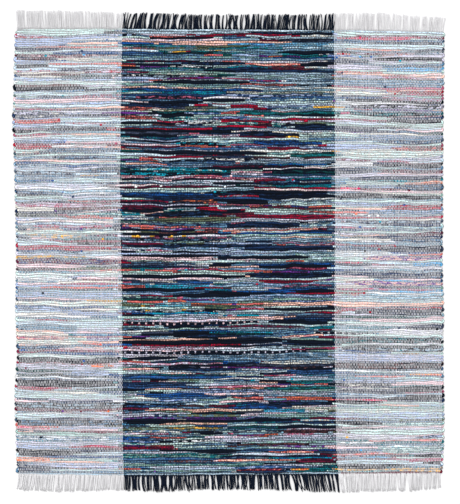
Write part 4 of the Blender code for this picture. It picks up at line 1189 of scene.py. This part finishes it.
across, along, dyes = [], [], []
for knot in KNOTS:
    across.append((knot.across - RUG_MIDDLE_ACROSS) * METRES_PER_PIXEL)
    along.append((RUG_MIDDLE_DOWN - knot.down) * METRES_PER_PIXEL)
    dyes.append(names.index(knot.dye))
joints = np.argwhere(rag[:, 1:] != rag[:, :-1])
for row, step in joints[draws.choice(len(joints), SPARE_KNOTS, replace=False)]:
    across.append(row_across[row, step + 1])
    along.append(row_y[row, step + 1])
    dyes.append(string_dye[rag[row, step]])
turn = np.linspace(-0.5, 0.5, 5)[1:-1, None] * np.pi
around = (np.arange(RAG_SIDES) * 2 * np.pi / RAG_SIDES)[None]
across, along = np.array(across)[:, None, None], np.array(along)[:, None, None]
bulk = draws.uniform(*KNOT_BULK, across.shape)
lumps = np.stack([
    across + bulk * KNOT_LONG * np.sin(turn) + 0 * around,
    along - bulk * KNOT_WIDE * np.cos(turn) * np.cos(around),
    KNOT_SEAT + KNOT_TALL * np.cos(turn) * np.sin(around) + 0 * along,
], axis=-1)
knots = tube_piece("rag_knots", lumps + np.array(middle))
knot_colours = np.repeat(colours[dyes][:, None], 2, axis=1)
paint_faces(knots, "ground", knot_colours, RAG_SIDES)
paint_faces(knots, "second", knot_colours, RAG_SIDES)
paint_faces(knots, "pattern", 0 * knot_colours, RAG_SIDES)
knots.data.materials.append(rag_cotton)
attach(knots, "root")

# The warp
# Soft cotton yarn, white at both sides and navy in the middle, set about 2.4 mm apart.
# It is stretched on the loom before the rags go in, and each end passes over one rag and under the next.
WARP_ENDS = {"left": 138, "centre": 286, "right": 142}
WARP_HALF, WARP_UNDER_HALF = 0.00132, 0.00100          # half width over and under a rag
NAVY_FINENESS = 0.82                                   # the navy yarn's width beside the white
WARP_UNEVEN, WARP_STRAY = 0.22, 0.00022                # share of its width, and sideways at each row
WARP_THINNEST, WARP_WIDEST = 0.4, 1.7
WARP_WANDER, WANDER_ROWS = 0.0005, 4.0                 # sideways, and over how many rows
WARP_MARGIN = 0.0002                                   # past the turn of the rag at each selvedge
END_STRAY = {"left": 0.00030, "centre": 0.00046, "right": 0.00030}
ENDS_A_DENT, DENT_DRAW = 4, 0.06                       # the reed holds the ends in fours, this much closer
WARP_THICK, BELOW_LINE = 0.0014, 0.35                  # and the share of it that lies under the middle line
WARP_SIDES = 3
WARP_OVER, WARP_UNDER = 0.0049, 0.0006                 # heights of its middle line
CENTRE_PIECES = 3
TWIST_ALONG, TWIST_ACROSS = 2600, 1500                 # the ply's slant, in radians a metre
LINT_GRAIN = (700, 260, 700)                           # spots of noise a metre, along each axis
# Painted shade: the yarn is painted darker low down, where it dips between the rags
DIP_FROM, DIP_TO = 0.0022, 0.0046                      # heights where the yarn is darkest and lightest
DIP_LIGHT = 0.50
# Painted light and shade: the ply's twist as light and dark stripes; lint noise makes the yarn lighter and
# darker in spots
LINT_LIGHT, TWIST_LIGHT, YARN_LIGHT = 0.5, 0.12, 0.70
YARN_ROUGHNESS, LINT_ROUGHNESS = 0.84, 0.1
TWIST_RELIEF, LINT_RELIEF = 0.7, 0.5

Border = namedtuple("Border", "along left right")
BORDERS = (
    Border(along=0.000, left=-0.3425, right=0.3526),
    Border(along=0.090, left=-0.3450, right=0.3470),
    Border(along=0.500, left=-0.3480, right=0.3406),
    Border(along=0.950, left=-0.3550, right=0.3429),
    Border(along=1.444, left=-0.3474, right=0.3396),
)


def warp_yarn(name, shade, variation, sheen, shaded=True):
    """Matt twisted cotton yarn of one colour, with painted shade where it dips between the rags when shaded.
    """
    material, shader, place = new_cloth(name, sheen)
    yarn = place.node("ShaderNodeAttribute", {"attribute_name": "yarn"})
    tone = place.node("ShaderNodeSeparateColor", Color=yarn)
    twist = 0.5 * (TWIST_ALONG * place.part(1) + TWIST_ACROSS * place.part(0)).sine() + 0.5
    painted_height_shade = place.part(2).between(DIP_FROM, DIP_TO)
    lint = place.scaled(*LINT_GRAIN).grain(detail=2.0)
    base = place.node("ShaderNodeRGB")
    base.socket.default_value = (*from_screen(shade), 1.0)
    # Each yarn's own tone, lint spots, and the ply's twist painted as light and dark stripes
    light = variation * tone + LINT_LIGHT * lint + TWIST_LIGHT * twist + (YARN_LIGHT - variation / 2)
    # Painted shade where the yarn dips between the rags, when shaded
    colour = base.lit(light * (DIP_LIGHT * painted_height_shade + (1 - DIP_LIGHT)) if shaded else light)
    relief = (TWIST_RELIEF * twist + LINT_RELIEF * lint).bumped(strength=0.45, distance=0.0006)
    finish_cloth(shader, colour, YARN_ROUGHNESS + LINT_ROUGHNESS * lint, relief)
    return material


white_cotton = warp_yarn("white_cotton", (229, 230, 236), variation=0.10, sheen=0.15)
navy_cotton = warp_yarn("navy_cotton", (10, 23, 43), variation=0.30, sheen=0.01)

row_along = row_share * length
border_left = read_table(BORDERS, row_along, "left")
border_right = read_table(BORDERS, row_along, "right")


def warp_across(zone):
    """X of each warp end of a colour zone at each row, as warp_across[row, end]."""
    count = WARP_ENDS[zone]
    low = {"left": left_turn - WARP_MARGIN, "centre": border_left, "right": border_right}[zone]
    high = {"left": border_left, "centre": border_right, "right": right_turn + WARP_MARGIN}[zone]
    share = (np.arange(count) + 0.5) / count
    places = low[:, None] * (1 - share) + high[:, None] * share
    dent = (np.arange(count) % ENDS_A_DENT + 0.5) / ENDS_A_DENT - 0.5
    places -= DENT_DRAW * dent * ENDS_A_DENT * (high - low)[:, None] / count
    places += draws.normal(0, END_STRAY[zone], count)
    return places + smooth(draws.normal(0, WARP_WANDER, places.shape), WANDER_ROWS, axis=0)


def warp_piece(name, places, first_end, fineness, material):
    """Warp ends side by side, each going over one rag and under the next."""
    y = np.array([np.interp(places[k], row_across[k], row_y[k]) for k in range(PICKS)])
    places = places + draws.normal(0, WARP_STRAY, places.shape)
    over = (np.arange(PICKS)[:, None] + first_end + np.arange(places.shape[1])) % 2 == 0
    high = np.where(over, WARP_OVER, WARP_UNDER)
    wide = np.where(over, WARP_HALF, WARP_UNDER_HALF) * fineness
    wide *= draws.normal(1, WARP_UNEVEN, over.shape).clip(WARP_THINNEST, WARP_WIDEST)
    base, crest = high - BELOW_LINE * WARP_THICK, high + (1 - BELOW_LINE) * WARP_THICK
    corners = (
        np.stack([places + wide, y, base], axis=-1),
        np.stack([places, y, crest], axis=-1),
        np.stack([places - wide, y, base], axis=-1),
    )
    piece = tube_piece(name, np.stack(corners, axis=2).transpose(1, 0, 2, 3) + np.array(middle))
    tone = np.repeat(draws.random((places.shape[1], 1)), PICKS - 1, axis=1)
    paint_faces(piece, "yarn", np.repeat(tone.reshape(-1, 1), 3, axis=1), WARP_SIDES)
    piece.data.materials.append(material)
    return piece


left_places, centre_places, right_places = (warp_across(zone) for zone in ("left", "centre", "right"))
warp_sets = [("warp_white_left", left_places, white_cotton, "white_warp")]
for number, places in enumerate(np.array_split(centre_places, CENTRE_PIECES, axis=1)):
    warp_sets.append((f"warp_navy_{number + 1}", places, navy_cotton, "navy_warp"))
warp_sets.append(("warp_white_right", right_places, white_cotton, "white_warp"))
first_end = 0
for name, places, material, slot in warp_sets:
    fineness = NAVY_FINENESS if material is navy_cotton else 1.0
    warp = warp_piece(name, places, first_end, fineness, material)
    first_end += places.shape[1]
    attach(warp, "root")
    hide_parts("rug_cloth")

# The fringe
# The warp ends beyond the last rag, cut to about 50 mm and left loose, with no knots.
# They lie on the floor in small bunches that lean and cross a little, the navy ones more than the white.
STRAND_RADIUS = {"far": 0.00150, "near": 0.00172}
NAVY_FULLNESS = 1.12           # the navy strand's width beside the white
TIP_THINNING, TIP_POWER = 0.25, 3
STRAND_RINGS, STRAND_SIDES = 6, 3
STRAND_ROOT = 0.004            # how far a strand starts inside the cloth's edge
ROOT_HEIGHT = 0.0028
FLOOR_GAP = 0.0001             # least gap under a strand
SETTLE_PACE = 3                # a strand comes down in a third of its length
REST_RANGE = (0.0002, 0.0022)  # how far it then lies above the floor, on the strands around it
RIPPLE, RIPPLE_TURN, RIPPLE_SHIFT = 0.0004, 9, 2000     # how its height waves, in radians along it
BUNCH_SIZES = (2, 2, 3, 4, 6)
CLOSING = {"left": (0.60, 0.95), "centre": (0.42, 0.82), "right": (0.60, 0.95)}   # of a bunch's root width
CLOSES_BY = 0.18               # of the strand's length
LEAN = {"left": 0.0022, "centre": 0.0044, "right": 0.0026}             # of a bunch, sideways at its tips
BEND = {"left": 0.0010, "centre": 0.0028, "right": 0.0012}             # of a bunch, sideways at its middle
STRAND_LEAN = {"left": 0.0014, "centre": 0.0021, "right": 0.0014}      # of a single strand in its bunch
STRAND_BEND = 0.0005
STRAND_CUT, BUNCH_CUT = 0.0012, 0.0014                                 # how unevenly they are cut
Reach = namedtuple("Reach", "across near far near_lean far_lean")
REACHES = (
    Reach(across=-0.69, near=0.049, far=0.061, near_lean=-0.010, far_lean=-0.005),
    Reach(across=-0.60, near=0.053, far=0.060, near_lean=-0.003, far_lean=-0.001),
    Reach(across=-0.50, near=0.052, far=0.057, near_lean=-0.003, far_lean=-0.001),
    Reach(across=-0.38, near=0.047, far=0.052, near_lean=-0.006, far_lean=0.002),
    Reach(across=-0.33, near=0.049, far=0.049, near_lean=0.000, far_lean=0.008),
    Reach(across=-0.23, near=0.052, far=0.049, near_lean=0.005, far_lean=0.007),
    Reach(across=-0.10, near=0.047, far=0.045, near_lean=0.002, far_lean=0.001),
    Reach(across=0.08, near=0.047, far=0.048, near_lean=0.004, far_lean=0.003),
    Reach(across=0.18, near=0.050, far=0.048, near_lean=0.009, far_lean=0.006),
    Reach(across=0.30, near=0.057, far=0.049, near_lean=0.014, far_lean=0.004),
    Reach(across=0.40, near=0.057, far=0.055, near_lean=0.004, far_lean=0.000),
    Reach(across=0.50, near=0.055, far=0.058, near_lean=0.001, far_lean=0.000),
    Reach(across=0.60, near=0.055, far=0.050, near_lean=-0.001, far_lean=0.000),
    Reach(across=0.69, near=0.045, far=0.047, near_lean=0.000, far_lean=0.010),
)

white_fringe = warp_yarn("white_fringe", (236, 235, 237), variation=0.14, sheen=0.15, shaded=False)
navy_fringe = warp_yarn("navy_fringe", (15, 25, 42), variation=0.30, sheen=0.01, shaded=False)


def fringe_piece(name, end, zone, roots, material):
    """One strand for each warp end, drawn out from the cloth's edge along the floor."""
    outward = -1 if end == "near" else 1
    edge = outward * read_table(ENDS, roots, end)
    closed, sway = np.array(roots), np.zeros(len(roots))
    lean = read_table(REACHES, roots, f"{end}_lean")
    reach = read_table(REACHES, roots, end) + draws.normal(0, STRAND_CUT, len(roots))
    start = 0
    while start < len(roots):
        bunch = slice(start, start + int(draws.choice(BUNCH_SIZES)))
        centre = roots[bunch].mean()
        closed[bunch] = centre + (roots[bunch] - centre) * draws.uniform(*CLOSING[zone])
        lean[bunch] += draws.normal(0, LEAN[zone])
        sway[bunch] = draws.normal(0, BEND[zone])
        reach[bunch] += draws.normal(0, BUNCH_CUT)
        start = bunch.stop
    lean += draws.normal(0, STRAND_LEAN[zone], len(lean))
    share = np.linspace(0, 1, STRAND_RINGS)[:, None]
    sway += draws.normal(0, STRAND_BEND, len(roots))
    x = roots + (closed - roots) * np.clip(share / CLOSES_BY, 0, 1)
    x = x + lean * share + sway * np.sin(np.pi * share)
    y = edge - outward * STRAND_ROOT + outward * (reach + STRAND_ROOT) * share
    settle = np.clip(share * SETTLE_PACE, 0, 1)
    thick = STRAND_RADIUS[end] * (NAVY_FULLNESS if zone == "centre" else 1.0)
    lying = thick + draws.uniform(*REST_RANGE, len(roots))
    ripple = RIPPLE * np.sin(share * RIPPLE_TURN + sway * RIPPLE_SHIFT)
    z = (1 - settle) * ROOT_HEIGHT + settle * lying + ripple
    z = np.maximum(z, thick + FLOOR_GAP)
    radius = thick * (1 - TIP_THINNING * share ** TIP_POWER)
    turn = -outward * 2 * np.pi * np.arange(STRAND_SIDES) / STRAND_SIDES + np.pi / 6 * (1 + outward)
    rings = np.stack([
        x.T[..., None] + radius.T[..., None] * np.cos(turn),
        np.repeat(y.T[..., None], STRAND_SIDES, axis=2),
        z.T[..., None] + radius.T[..., None] * np.sin(turn),
    ], axis=-1)
    piece = tube_piece(name, rings + np.array(middle))
    tone = np.repeat(draws.random((len(roots), 1)), STRAND_RINGS - 1, axis=1)
    paint_faces(piece, "yarn", np.repeat(tone.reshape(-1, 1), 3, axis=1), STRAND_SIDES)
    piece.data.materials.append(material)
    return piece


for end, row in (("far", -1), ("near", 0)):
    for zone, places in (("left", left_places), ("centre", centre_places), ("right", right_places)):
        cotton = navy_fringe if zone == "centre" else white_fringe
        fringe = fringe_piece(f"fringe_{end}_{zone}_yarns", end, zone, places[row], cotton)
        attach(fringe, "root")
        "navy_warp" if zone == "centre" else "white_warp"
        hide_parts(f"fringe_{end}_{zone}")

# The sheet
# All that is woven lies flat on the floor, held by nothing but its weight.
BAND_LENGTH = length * PICKS_A_BAND / PICKS
